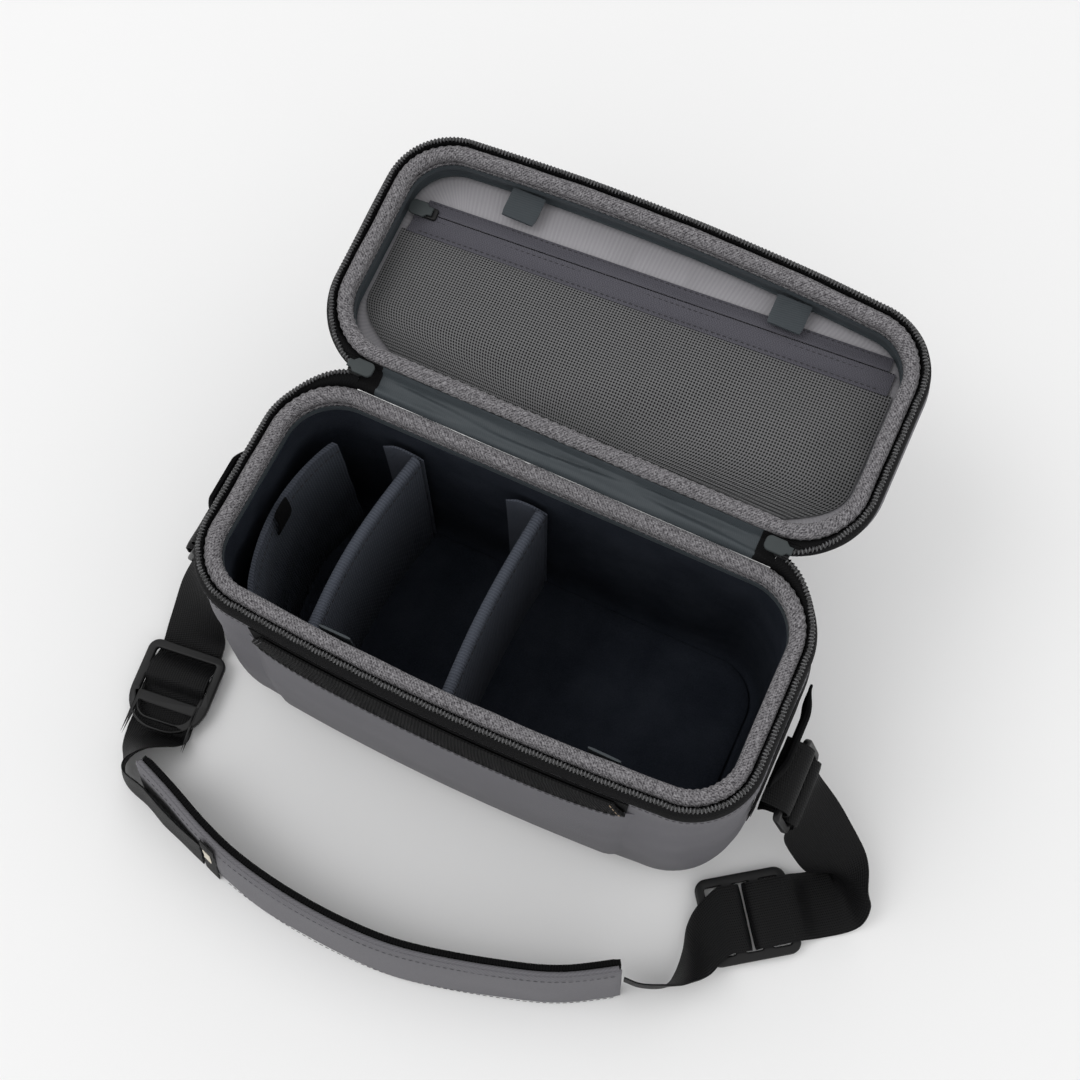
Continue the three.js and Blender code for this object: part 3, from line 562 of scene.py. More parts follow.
def twill(name, colour, slot, pitch, spread, roughness=0.8, sheen=0.06, specular=0.2):
    """Plain twill: slanting lines with a little yarn noise."""
    paint = Paint(name, roughness=roughness, sheen=sheen, specular=specular)
    dark, light = tones(colour, spread)
    line = paint.math("MULTIPLY_ADD", paint.stripes(pitch, 0.62, 0.78), 0.28, 0.5)
    yarn = paint.noise(1.1, detail=2, stretch=(2.2, 0.7, 1), on_cloth=True)
    paint.colour(paint.blend(dark, light, paint.halves(line, yarn)))
    paint.bump(line, 0.12)
    paint.bump(yarn, 0.1)
    return paint.done(slot)


def ribbed(name, colour, slot, pitch, spread, depth, roughness, specular=0.15):
    """Cloth or webbing with ribs of one pitch."""
    paint = Paint(name, roughness=roughness, specular=specular)
    dark, light = tones(colour, spread)
    ribs = paint.math("MULTIPLY_ADD", paint.stripes(pitch), 0.5, 0.5)
    yarn = paint.noise(0.9, detail=2)
    cloud = paint.noise(25, detail=3)
    paint.colour(paint.blend(dark, light, paint.halves(ribs, paint.halves(yarn, cloud))))
    paint.bump(ribs, depth)
    paint.bump(yarn, 0.1)
    return paint.done(slot)


def webbing():
    """Tightly woven strap webbing: fine ribs along its length, crossed by small picks."""
    paint = Paint("webbing", roughness=0.55, specular=0.14)
    dark, light = tones((13, 13, 14), 6)
    ribs = paint.math("MULTIPLY_ADD", paint.stripes(1.5, 0, 1), 0.5, 0.5)
    picks = paint.math("MULTIPLY_ADD", paint.stripes(1.1, 0.9, 0.25), 0.5, 0.5)
    paint.colour(paint.blend(dark, light, paint.halves(ribs, picks)))
    paint.bump(ribs, 0.16)
    paint.bump(picks, 0.12)
    return paint.done("webbing")


def herringbone_tape(name, colour, spread, slot, specular):
    """Zip tape: a fine herringbone weave."""
    paint = Paint(name, roughness=0.75, specular=specular)
    dark, light = tones(colour, spread)
    bones = paint.math("MULTIPLY_ADD", paint.herringbone(1.6, 1.8), 0.5, 0.5)
    yarn = paint.noise(0.8, detail=2)
    paint.colour(paint.blend(dark, light, paint.halves(bones, yarn)))
    paint.bump(bones, 0.14)
    return paint.done(slot)


def brushed_lining(name, colour, slot, spread):
    """Napped loop cloth: soft fuzz with clouds where the nap lies differently."""
    paint = Paint(name, roughness=1.0, specular=0.06)
    dark, light = tones(colour, spread)
    cloud = paint.noise(26, detail=5)
    fuzz = paint.noise(0.8, detail=3, rough=0.75)
    paint.colour(paint.blend(dark, light, paint.sharpen(paint.halves(cloud, fuzz), 0.35, 0.65)))
    paint.bump(fuzz, 0.4)
    paint.bump(cloud, 0.8)
    return paint.done(slot)


def slate_nylon():
    """Smooth woven nylon with a faint twill line and slight shine."""
    paint = Paint("slate_nylon", roughness=0.5, sheen=0.02, specular=0.3)
    dark, light = tones((58, 64, 68), 6)
    weave = paint.math("MULTIPLY_ADD", paint.stripes(1.0, 0.8, 0.6), 0.5, 0.5)
    cloud = paint.noise(9, detail=3)
    paint.colour(paint.blend(dark, light, paint.halves(weave, cloud)))
    paint.bump(weave, 0.07)
    paint.bump(cloud, 0.3)
    return paint.done("slate_nylon")


def mesh_cloth():
    """Open mesh: rows of dark oval holes, each row shifted by half a pitch."""
    paint = Paint("mesh_cloth", roughness=0.8, specular=0.15)
    pitch = 3.3
    wave_a = paint.stripes(pitch, 1, 1)
    wave_b = paint.stripes(pitch, 1, -1)
    holes = paint.sharpen(paint.math("MULTIPLY", wave_a, wave_b), 0.1, 0.3)
    dark, light = tones((104, 104, 105), 10)
    cloth = paint.blend(dark, light, paint.noise(1.0, detail=2))
    paint.colour(paint.blend(cloth, linear((22, 22, 23)), holes))
    paint.bump(paint.math("SUBTRACT", 1.0, holes), 0.35)
    return paint.done("mesh_cloth")


def hard(name, colour, slot, roughness, grain=0.04, specular=0.3):
    """Moulded plastic or rubber with a fine eroded grain and slight wear in its shine."""
    paint = Paint(name, roughness=roughness, specular=specular)
    dark, light = tones(colour, 3)
    paint.colour(paint.blend(dark, light, paint.noise(6, detail=3)))
    paint.roughen(paint.noise(14, detail=4), roughness - 0.08, roughness + 0.1)
    paint.bump(paint.noise(0.5, detail=2), grain)
    return paint.done(slot)


def coil_teeth():
    """Glossy moulded black teeth: each crest carries a painted highlight, a pale stripe in the colour, and
    the gaps between them keep the teeth's own dark colour.
    """
    paint = Paint("zip_coil", roughness=0.2, specular=0.5)
    # painted highlight: one pale stripe a tooth, on its crest, stands in for the lamp's glint; the rest is
    # the teeth's own black
    painted_highlight = paint.sharpen(paint.stripes(COIL_PITCH), 0.35, 0.95)
    paint.colour(paint.blend(linear((10, 10, 11)), linear((88, 88, 90)), painted_highlight))
    return paint.done("zip_coil")


def thread(name, colour, slot):
    paint = Paint(name, roughness=0.7, specular=0.2)
    dark, light = tones(colour, 8)
    paint.colour(paint.blend(dark, light, paint.noise(1.5)))
    return paint.done(slot)


SHELL = shell_laminate()
HEATHER = heather_twill()
PALE_TWILL = twill("pale_twill", (152, 150, 154), "light_twill", pitch=1.9, spread=14)
PAD_CLOTH = twill("pad_cloth", (98, 97, 101), "shell_fabric", pitch=1.5, spread=18, roughness=0.85)
TAPE = herringbone_tape("black_tape", (13, 13, 14), 7, "black_tape", specular=0.1)
ZIP_CLOTH = herringbone_tape("pocket_zip_cloth", (78, 77, 84), 11, "pocket_zip_tape", specular=0.2)
# COIL: the zips' black teeth, with a painted highlight on every crest
COIL = coil_teeth()
WEB = webbing()
ELASTIC = ribbed("ribbed_elastic", (15, 15, 16), "webbing", 1.9, spread=10, depth=0.8, roughness=0.75)
LINING = brushed_lining("brushed_lining", (38, 42, 50), "dark_lining", spread=8)
FOAM_CLOTH = ribbed("ribbed_lining", (70, 74, 83), "ribbed_lining", 1.7, spread=11, depth=0.4, roughness=0.95)
SLATE = slate_nylon()
BLACK_CLOTH = brushed_lining("black_loop_cloth", (14, 14, 15), "black_tape", spread=5)
BLACK_PANEL = twill("black_panel", (15, 15, 16), "black_tape", pitch=1.2, spread=6, sheen=0, specular=0.1)
MESH = mesh_cloth()
AIR_MESH = ribbed("air_mesh", (12, 12, 13), "black_tape", 1.6, spread=7, depth=0.5, roughness=0.95,
                  specular=0.08)
PLASTIC = hard("black_plastic", (16, 16, 17), "black_plastic", 0.38, specular=0.28)
RUBBER = hard("pull_rubber", (56, 61, 62), "pull_rubber", 0.5, specular=0.25)
DARK_THREAD = thread("dark_thread", (48, 47, 50), "heather_twill")
GREY_THREAD = thread("grey_thread", (78, 77, 80), "shell_fabric")
TAN_THREAD = thread("tan_thread", (150, 132, 112), "shell_fabric")
BLACK_THREAD = thread("black_thread", (22, 22, 23), "black_tape")
CREAM = thread("cream_patch", (205, 198, 184), "webbing")


# ---------------------------------------------------------------- bands that follow the zip line
def rim_loops(section, start, stop, spacing, shape=None, closed=False):
    """Loops of a section of (out, z) points carried along the zip line between two distances."""
    count = max(int(round((stop - start) / spacing)), 4)
    s = np.linspace(start, stop, count + 1)
    if closed:
        s = s[:-1]
    out, z = (np.asarray(section, float)[None, :, k] for k in (0, 1))
    s = s[:, None]
    if shape is not None:
        out, z = shape(s, out, z)
    x, y = rim.at(s + 0 * out, out + 0 * s)
    return np.stack(np.broadcast_arrays(x, y, z), axis=-1)


def flare(s):
    """How far the zip has left the collar for its slider: 0 along the bag, 1 at the slider."""
    s = np.minimum(s, rim.length - s)
    return 1 - smoothstep(s, ZIP_START, REAR_STRAIGHT + REAR_ARC * 0.72)


FLARE_OUT = 4.4
FLARE_RISE = 3.6
COIL_HEIGHT = 0.85          # share of the coil's width that it is high
COIL_OFF_RIM = 1.35


# Sections below are (out from the zip line, depth from the plane where the body and the lid meet).
ROLL_OUT, ROLL_IN = -2.7, -11.3
ROLL_MIDDLE = (ROLL_OUT + ROLL_IN) / 2
COLLAR_DEPTH = 14.9


def collar_section(steps=14):
    """Padded roll on a narrow foot: its outer side, its round top, then in under the roll."""
    half_width, half_height = (ROLL_OUT - ROLL_IN) / 2, 3.9
    middle_depth = 0.6 + half_height
    points = [(-3.55, COLLAR_DEPTH), (-3.5, 11.5), (ROLL_OUT - 0.1, 9.5)]
    for angle in np.radians(np.linspace(-20, 215, steps + 1)):
        depth = middle_depth - half_height * math.sin(angle)
        points.append((ROLL_MIDDLE + half_width * math.cos(angle), depth))
    return points + [(-9.6, 8.8), (-9.0, 9.6), (-8.9, COLLAR_DEPTH)]


def collar_shape(seam, phase, slack):
    """Gathers at the corners, a butt seam at distance seam, and slight waviness; slack adds rear wrinkles."""
    def shape(s, out, depth):
        bead = np.sin(2 * np.pi * s / 5.2 + 0.35 * np.sin(s / 7) + 0.12 * (out - depth) + phase)
        long_wave = 0.22 * np.sin(s / 9.7 + phase) + 0.16 * np.sin(s / 5.3 + 2 * phase)
        pinch = 0.9 * np.exp(-(((s - seam) / 1.1) ** 2))
        rear = np.exp(-((np.minimum(s, rim.length - s) / 105) ** 6))
        gather = (0.34 * at_corner(s) + slack * rear) * bead
        on_roll = 1 - smoothstep(depth, 7.5, 9.5)
        scale = 1 + on_roll * (gather + long_wave * 0.5 - pinch) / 5
        lift = on_roll * (gather * 0.6 + 0.4 * long_wave - pinch)
        return ROLL_MIDDLE + (out - ROLL_MIDDLE) * scale, depth - lift
    return shape


def collar(name, to_height, turned, body, nodes, seam, phase, slack):
    """The roll, the welt sewn under it and the cloth edge below, all the way round."""
    def loops(section, shape=None):
        made = rim_loops(section, 0, rim.length, 1.3, shape, closed=True)
        made[..., 2] = to_height(made[..., 2])
        return turned(made)
    shape = collar_shape(seam, phase, slack)
    roll = piece(name, loops(collar_section(), shape), HEATHER, body, nodes, closed=True)
    welt = [(-9.1, 9.3), (-10.2, 9.2), (-10.5, 10.4), (-10.3, 11.9), (-9.1, 11.9)]
    edge = [(-9.2, 11.6), (-10.7, 11.7), (-11.1, 13.4), (-10.9, 15.6), (-9.6, 15.7), (-9.2, 14.8)]
    piece(f"{name}_welt", loops(welt), HEATHER, body, closed=True)
    piece(f"{name}_edge", loops(edge), SLATE, body, closed=True)
    s = np.linspace(0, rim.length, 420)
    x, y = rim.at(s, np.full_like(s, -10.55))
    line = turned(np.column_stack([x, y, to_height(np.full_like(s, 10.7))]))
    stitches(f"{name}_stitch", line, (0, 0, 1), DARK_THREAD, body, length=2.2, gap=1.2, radius=0.24)


def below_rim(depth):
    return RIM - depth


def above_rim(depth):
    return RIM + depth


def untouched(points):
    return points


def coil_loops(closed_z, spacing=0.42):
    """One half of the zip: a helix of moulded teeth on the edge of its tape."""
    count = int((rim.length - 2 * ZIP_START) / spacing)
    s = np.linspace(ZIP_START, rim.length - ZIP_START, count)[:, None]
    angle = np.arange(8)[None, :] * math.pi / 4
    radius = 1.05 + 0.42 * np.sin(2 * np.pi * s / COIL_PITCH + angle)
    out = -0.2 + FLARE_OUT * flare(s) + 1.15 * radius * np.cos(angle)
    z = closed_z + FLARE_RISE * flare(s) + COIL_HEIGHT * radius * np.sin(angle)
    x, y = rim.at(s + 0 * out, out)
    return np.stack(np.broadcast_arrays(x, y, z), axis=-1)


# The tape's section: out from the zip line, depth from the rim's plane, and how much of the flare it follows.
# It rises from the shell to the coil, turns down to the collar's foot, and comes back underneath.
TAPE_SECTION = (
    (3.6, 11.8, 0), (3.7, 8.5, 0.3), (2.7, 5.0, 0.7), (0.9, 2.2, 1), (-1.6, 2.8, 0.55), (-2.95, 6.5, 0),
    (-2.7, 8.1, 0), (-1.2, 4.4, 0.5), (0.2, 3.6, 0.9), (1.4, 6.0, 0.65), (2.4, 9.0, 0.3), (2.3, 11.8, 0),
)


def tape_loops(to_height):
    share = np.array([row[2] for row in TAPE_SECTION])[None, :]

    def shape(s, out, depth):
        wave = 0.25 * np.sin(s / 11.0) * share
        return out + FLARE_OUT * flare(s) * share + wave, to_height(depth) + FLARE_RISE * flare(s) * share
    section = [row[:2] for row in TAPE_SECTION]
    return rim_loops(section, ZIP_START, rim.length - ZIP_START, 2.0, shape)


def body_rim():
    collar("body_collar_roll", below_rim, untouched, "bag", ["body_collar"], seam=18.0, phase=0.0, slack=0.06)
    piece("body_zip_tape_cloth", tape_loops(below_rim), TAPE, nodes=["body_zip_tape"])
    piece("body_zip_teeth", coil_loops(RIM - COIL_OFF_RIM), COIL, nodes=["body_zip_coil"])


# ---------------------------------------------------------------- body shell and lining
# Height, then how far the outside stands out from the zip line at the ends, the front and the rear.
SHELL_PROFILE = (
    (0, -26, -26, -28), (4, -9, -9, -11), (12, 2, 2, 0), (26, 8.5, 7.5, 6.5), (45, 9, 8, 7),
    (75, 8, 7, 6), (105, 6, 5, 3), (130, 5, 3.5, 0), (RIM - ZIP_BAND, 4, 3.5, 0),
)


def shell_at(z):
    """The profile's three distances at a height."""
    table = np.array(SHELL_PROFILE)
    return [np.interp(z, table[:, 0], table[:, k]) for k in (1, 2, 3)]


BAND_FOOT, BAND_TOP = 133.0, 151.0


def pocket_stand_off(x, z):
    along = np.clip((x + 3) / 109, -1, 1)
    mouth = np.clip((BAND_TOP - z) / (BAND_TOP - BAND_FOOT), 0, 1)
    return 3.6 * (1 - along**6) * smoothstep(z, 20, BAND_FOOT - 20) * mouth


def body_shell():
    profile = catmull(SHELL_PROFILE, 5)
    profile[:, 0] = np.maximum(profile[:, 0], 0)
    outer = np.stack([outline(z, *grow) for z, *grow in profile])
    inner = np.stack([outline(max(z, 3.2), *(g - SHELL_THICKNESS for g in grow))
                      for z, *grow in profile[::-1]])
    out = outer - np.array([0, 0, 80])
    out[..., 2] *= 0.2
    out /= np.linalg.norm(out, axis=2)[..., None]
    body = smoothstep(outer[..., 2], 6, 30) * (1 - smoothstep(outer[..., 2], 140, 152))
    crease = rumple(outer * (1, 1, 2.2), 45, 1.6, 3.1) + rumple(outer, 17, 0.35, 8.4)
    outer[..., :2] += (out * (crease * body)[..., None])[..., :2]
    piece("moulded_shell", np.concatenate([outer, inner]), SHELL, nodes=["body_shell"])
    seam = outline(RIM - ZIP_BAND - 2.6, 4.15, 3.65, 0.15)
    seam = seam[np.abs(seam[:, 0]) < 500][30:-30]
    stitches("shell_edge_stitch", seam, (0, 0, 1), GREY_THREAD, length=2.2, gap=1.3, radius=0.22)


LINER_INSIDE = ((149.5, -11), (125, -10), (90, -9), (50, -8.5), (24, -9), (13, -14), (10.4, -24))


def body_lining():
    inside = catmull(LINER_INSIDE, 5)
    outside = [(RIM - ZIP_BAND - 3.6, 0.6, 0.1, -3.4), (105, 2.6, 1.6, -0.4), (75, 4.6, 3.6, 2.6),
               (30, 5, 4, 3), (15, -1.4, -1.4, -3.4), (6.4, -13, -13, -15), (3.6, -28, -28, -30)]
    inner = np.stack([outline(z, grow) for z, grow in inside])
    outer = np.stack([outline(z, *grow) for z, *grow in outside[::-1]])
    push = rumple(inner, 26, 1.5, 5.0)
    for seam_x in (-96, 14, 92):
        push -= 0.9 * np.exp(-(((inner[..., 0] - seam_x) / 1.3) ** 2))
    centre = inner * np.array([1, 1, 0])
    centre /= np.linalg.norm(centre, axis=2)[..., None]
    inner -= centre * push[..., None] * 0.7
    piece("lining", np.concatenate([outer, inner]), LINING, nodes=["body_liner"])
    pad = [(12.4, -15), (14, -13.6), (16.8, -13.4), (FLOOR_TOP, -15.5), (FLOOR_TOP + 0.2, -22),
           (FLOOR_TOP + 0.3, -32)]
    floor = piece("floor_pad", np.stack([outline(z, grow) for z, grow in pad]), LINING, nodes=["base_pad"])


# ---------------------------------------------------------------- front slip pocket
def pocket_surface(x, z, off):
    _, front, _ = shell_at(z)
    return front_y(x, front) - off


def front_pocket():
    def panel(extra, inward):
        def place(v, u):
            x, z = lerp(-114, 108, u), lerp(19, BAND_FOOT + 0.6, v)
            border = np.minimum(smoothstep(u, 0, 0.04), smoothstep(1 - u, 0, 0.04)) * smoothstep(v, 0, 0.08)
            off = (pocket_stand_off(x, z) + 1.2) * border + extra * border + 0.2 - inward * (1 - border)
            return x, pocket_surface(x, z, off), z
        return grid_of(36, 70, place)

    front = panel(1.3, 0.0)
    bulge = rumple(front * (1, 1, 1.6), 42, 1.0, 1.7)
    inside = smoothstep(front[..., 2], 20, 50) * (1 - smoothstep(front[..., 2], 118, 131))
    front[..., 1] += bulge * inside * 0.6
    piece("front_pocket_skin", slab(front, panel(0, 1.0)), SHELL, nodes=["front_pocket_panel"])

    def band(extra):
        def place(v, u):
            z = lerp(BAND_FOOT - 0.4, BAND_TOP, v)
            taper = 7 * smoothstep(v, 0.1, 1.0)
            x = lerp(-110 + taper, 104 - taper, u)
            crown = extra * (0.55 + 0.45 * np.sin(np.pi * np.clip(v, 0.03, 0.97)) ** 0.5)
            pucker = 0.3 * np.sin(x / 2.6) * np.sin(np.pi * v) * (extra > 0)
            return x, pocket_surface(x, z, pocket_stand_off(x, z) + 1.75 + crown + pucker), z
        return grid_of(12, 220, place)

    piece("pocket_elastic", slab(band(1.5).transpose(1, 0, 2), band(0).transpose(1, 0, 2)), ELASTIC,
          nodes=["front_pocket_band"])

    def facing_side(off):
        def place(v, u):
            x, z = lerp(-110, 104, u), lerp(112, 152.6, v)
            return x, pocket_surface(x, z, off), z
        return grid_of(6, 60, place)

    piece("pocket_facing_cloth", slab(facing_side(0.9), facing_side(0.25)), TAPE,
          nodes=["front_pocket_facing"])

    def stitch_row(name, x0, x1, z, thread_kind, proud=3.2):
        x = np.linspace(x0, x1, 90)
        y = pocket_surface(x, z, pocket_stand_off(x, z) + proud)
        stitches(name, np.column_stack([x, y, np.full_like(x, z)]), (0, -1, 0), thread_kind)

    stitch_row("pocket_band_stitch", -106, 100, BAND_FOOT + 1.6, BLACK_THREAD)
    stitch_row("pocket_skin_stitch", -106, 100, BAND_FOOT - 2.2, GREY_THREAD, 2.9)
    corners = (("left", -108, -101, GREY_THREAD), ("left_low", -110, -103, GREY_THREAD),
               ("right", 102, 95, TAN_THREAD))
    for word, low_x, high_x, kind in corners:
        x, z = np.linspace(low_x, high_x, 12), np.linspace(BAND_FOOT + 1, BAND_TOP - 1, 12)
        y = pocket_surface(x, z, pocket_stand_off(x, z) + 3.3)
        stitches(f"pocket_corner_stitch_{word}", np.column_stack([x, y, z]), (0, -1, 0), kind)


def back_panel():
    def side(out):
        def place(v, u):
            x, z = lerp(-98, 98, u), lerp(28, 126, v)
            _, _, rear = shell_at(z)
            edge = (1 - (2 * u - 1) ** 10) * (1 - (2 * v - 1) ** 10)
            channel = sum(np.exp(-(((v - at) / 0.025) ** 2)) for at in (0.33, 0.66))
            return x, HALF_WIDTH + rear + 0.35 + out * (0.2 + 0.8 * edge * (1 - 0.6 * channel)), z
        return grid_of(48, 60, place)
    made = piece("worn_side_pad", slab(side(6.0), side(0.0)), AIR_MESH, nodes=["back_panel"])


# ---------------------------------------------------------------- ends: panel, handle, anchor, ring
def end_wall(side, y, z, out):
    """Point on the end wall, which follows the rear corner round."""
    end, _, rear = shell_at(z)
    radius = REAR_RADIUS + end + out
    past = np.maximum(y - (HALF_WIDTH + rear - REAR_RADIUS - end), 0)
    return side * (HALF_LENGTH - REAR_RADIUS + np.sqrt(radius**2 - past**2)), y, z


def side_panel(word, side):
    def face(out):
        def place(v, u):
            y, z = lerp(-31, 46, u), lerp(44, 140, v)
            edge = (1 - (2 * u - 1) ** 12) * (1 - (2 * v - 1) ** 12)
            return end_wall(side, y, z, 0.3 + out * (0.25 + 0.75 * edge))
        return grid_of(24, 24, place)
    piece(f"end_patch_{word}", slab(face(1.5), face(0)), BLACK_PANEL, nodes=[f"side_panel_{word}"])
    for row, y in enumerate((-28.5, 43.5)):
        z = np.linspace(47, 137, 40)
        x = [end_wall(side, y, h, 1.5)[0] for h in z]
        stitches(f"end_patch_stitch_{word}_{row}", np.column_stack([x, np.full_like(z, y), z]), (side, 0, 0),
                 BLACK_THREAD)


HANDLE_LIFT = {"left": 8, "right": 3}


def grab_handle(word, side):
    """Soft padded strip sewn flat at both ends and standing clear between them."""
    def face(out):
        def place(t, w):
            lift = HANDLE_LIFT[word] * smoothstep(np.minimum(t, 1 - t), 0.04, 0.3)
            end = smoothstep(np.minimum(t, 1 - t), 0.0, 0.14)
            width = HANDLE_WIDTH * (0.62 + 0.38 * np.sqrt(end))
            crown = np.sqrt(np.clip(1 - (2 * w - 1) ** 4, 0, 1))
            thick = out * lerp(0.35, 1.0, smoothstep(np.minimum(t, 1 - t), 0.02, 0.2)) * (0.35 + 0.65 * crown)
            middle = 1.4 + 1.0 + lift + 2.2
            return end_wall(side, lerp(HANDLE_FRONT, HANDLE_REAR, t), HANDLE_MIDDLE_Z + (w - 0.5) * width,
                            middle + thick)
        return grid_of(40, 14, place)
    made = piece(f"handle_pad_{word}", slab(face(2.5), face(-2.1)), BLACK_CLOTH,
                 nodes=[f"grab_handle_{word}"])


def anchor(word, side):
    path = [(164.2, 104.8), (168, 105), (173, 104.7), (177.6, 103.2), (180.6, 99.6), (180.6, 95.2),
            (177.4, 92.2), (172.4, 90.6), (168, 88), (165.9, 82)]
    line = catmull(path, 5)
    across = np.linspace(-19, 19, 13)
    grid = np.stack([np.stack([np.full(13, side * x), ANCHOR_Y + across, np.full(13, z)], axis=-1)
                     for x, z in line])
    piece(f"anchor_webbing_{word}", both_sides(grid, WEBBING), WEB, nodes=[f"anchor_tab_{word}"])
    tilt = (placed((side * 179.5, ANCHOR_Y, 88.5), (0, -22 * side, 0)) @ placed((0, 0, 0), (90, 0, 0))
            @ placed((0, 0, 0), (0, 90, 0)))
    outer = rounded_box(24.5, 12.5, (4, 4, 4, 4))
    inner = rounded_box(20.1, 8.1, (1.5, 1.5, 1.5, 1.5))
    moulded(f"ring_{word}", [outer, inner], 4.0, 1.3, tilt, PLASTIC, nodes=[f"strap_ring_{word}"])
    for row, z in enumerate((100.5, 92.5)):
        y = np.linspace(ANCHOR_Y - 16, ANCHOR_Y + 16, 14)
        x = np.full_like(y, side * (174.0 if row == 0 else 176.2))
        height = np.full_like(y, 105.3 if row == 0 else 90.6)
        way = (0, 0, 1) if row == 0 else (0, 0, -1)
        line = np.column_stack([x, y, height])
        stitches(f"anchor_stitch_{word}_{row}", line, way, BLACK_THREAD, length=2.0)


def ends():
    for word, side in SIDES:
        side_panel(word, side)
        grab_handle(word, side)
        anchor(word, side)


# ---------------------------------------------------------------- inside pieces
def board(line, low, high, thickness, dip):
    """Loops of an upright padded board along a plan line, with a rounded, slightly dipped top edge."""
    ahead = np.gradient(line, axis=0)
    ahead /= np.linalg.norm(ahead, axis=1)[:, None]
    side = np.column_stack([-ahead[:, 1], ahead[:, 0]])
    t = np.linspace(-1, 1, len(line))
    loops = []
    half = thickness / 2
    for point, way, at in zip(line, side, t):
        top = high - dip * (1 - at**4)
        section = [(-half * 0.85, low)]
        section += [(-half * (0.86 + 0.14 * math.sin(math.pi * k / 8)), lerp(low, top - half, k / 8))
                    for k in range(1, 8)]
        section += [(-half * math.cos(math.pi * k / 8), top - half + half * math.sin(math.pi * k / 8))
                    for k in range(9)]
        section += [(half * (0.86 + 0.14 * math.sin(math.pi * k / 8)), lerp(low, top - half, k / 8))
                    for k in range(7, 0, -1)]
        section += [(half * 0.85, low)]
        loops.append([(point[0] + way[0] * o, point[1] + way[1] * o, z) for o, z in section])
    return np.array(loops)


def bezier(a, b, c, steps):
    t = np.linspace(0, 1, steps + 1)[:, None]
    return (1 - t) ** 2 * np.array(a) + 2 * t * (1 - t) * np.array(b) + t * t * np.array(c)


DIVIDERS = (
    ("left", (-85, -55.6), (-93, -4), (-79, 55)),
    ("right", (-5, -58.4), (-11, -4), (-4, 55)),
)


def divider(word, front, middle, rear):
    body = f"divider_{word}"
    line = bezier(front, middle, rear, 48)
    loops = board(line, FLOOR_TOP + 0.5, DIVIDER_TOP, DIVIDER_THICKNESS, DIVIDER_DIP)
    made = piece(f"divider_board_{word}", loops, FOAM_CLOTH, body, nodes=[f"divider_{word}"])
    for side in (-1, 1):
        shifted_line = line + np.column_stack([np.full(len(line), side * 3.45), np.zeros(len(line))])
        dip = DIVIDER_DIP * (1 - np.linspace(-1, 1, len(line)) ** 4)
        row = np.column_stack([shifted_line, DIVIDER_TOP - 6.2 - dip])
        stitches(f"divider_stitch_{word}_{'a' if side < 0 else 'b'}", row, (side, 0, 0), DARK_THREAD, body,
                 radius=0.26)
    for end, anchor_point in (("front", front), ("rear", rear)):
        def place(v, u, end=end, anchor_point=anchor_point):
            x = anchor_point[0] + 3.2 - 24 * u
            wall = front_y(x, -12) if end == "front" else anchor_point[1] + 2 + 0 * x
            curl = 1.6 * smoothstep(u, 0.7, 1.0) * (1 if end == "front" else -1)
            z = lerp(FLOOR_TOP + 4, DIVIDER_TOP - 5 + 2.5 * np.sin(np.pi * u), v)
            return x, wall + curl * v**3, z
        grid = grid_of(20, 12, place)
        piece(f"divider_wing_{word}_{end}", both_sides(grid, 1.3), FOAM_CLOTH, body,
              nodes=[f"divider_{word}_flap_{end}"])


def organiser_line(u):
    return -127 - 11 * np.sin(np.pi * u) ** 0.8, lerp(-50, 46, u)


def organiser():
    def face(out):
        def place(v, u):
            x, y = organiser_line(u)
            x = x + lerp(7, 0, v) * 0.6 + out * (0.75 + 0.25 * np.sin(np.pi * v))
            return x, y, lerp(FLOOR_TOP + 0.5, 132, v)
        return grid_of(26, 40, place)
    front, back = face(4.0), face(0.2)
    front[..., 0] += rumple(front, 22, 1.1, 2.0)
    made = piece("organiser_sleeve", slab(front.transpose(1, 0, 2), back.transpose(1, 0, 2)), FOAM_CLOTH,
                 nodes=["organiser_pocket"])
    x, y = organiser_line(np.linspace(0, 1, 40))
    row = np.column_stack([x + 4.4, y, np.full(40, 125.0)])
    stitches("organiser_stitch", row, (1, 0, 0), DARK_THREAD, radius=0.26)

    def tab(v, u):
        x, y = organiser_line(0.42 + 0.13 * u)
        return x + 5.4 + 2.4 * np.sin(np.pi * v), y + 3 * (v - 0.5), lerp(117, 138, v)
    piece("organiser_hook_tab", both_sides(grid_of(14, 10, tab), 1.5), BLACK_CLOTH, nodes=["organiser_tab"])


def wall_tabs():
    for word, x0 in (("left", -68), ("right", 83)):
        def place(v, u, x0=x0):
            x = x0 - 9 + 18 * u
            y = front_y(x0, 0) + 14.6 + 1.2 * (1 - v) ** 2
            return x, y, lerp(140, 156, v)
        piece(f"collar_tab_{word}", both_sides(grid_of(10, 12, place), 1.3), SLATE,
              nodes=[f"front_wall_tab_{word}"])


# ---------------------------------------------------------------- cloth hinge, sliders and their pulls
def hinge_rows(x, outer, count):
    """Points across the hinge at x, from under the body's collar over the fold to the lid's collar."""
    body = np.array([outer, HALF_WIDTH + ROLL_OUT + 0.5, RIM - 4.4])
    lid = open_lid([outer, HALF_WIDTH + ROLL_OUT + 0.5, RIM + 4.4])
    fold = [np.array([x, HINGE_Y + y, HINGE_Z + z]) for y, z in ((-3.6, -6.8), (0.9, -6.2), (4.6, -4.2))]
    line = catmull([body, *fold, lid], 6)
    return evenly(line, lengths(line)[-1] / count)[: count + 1]


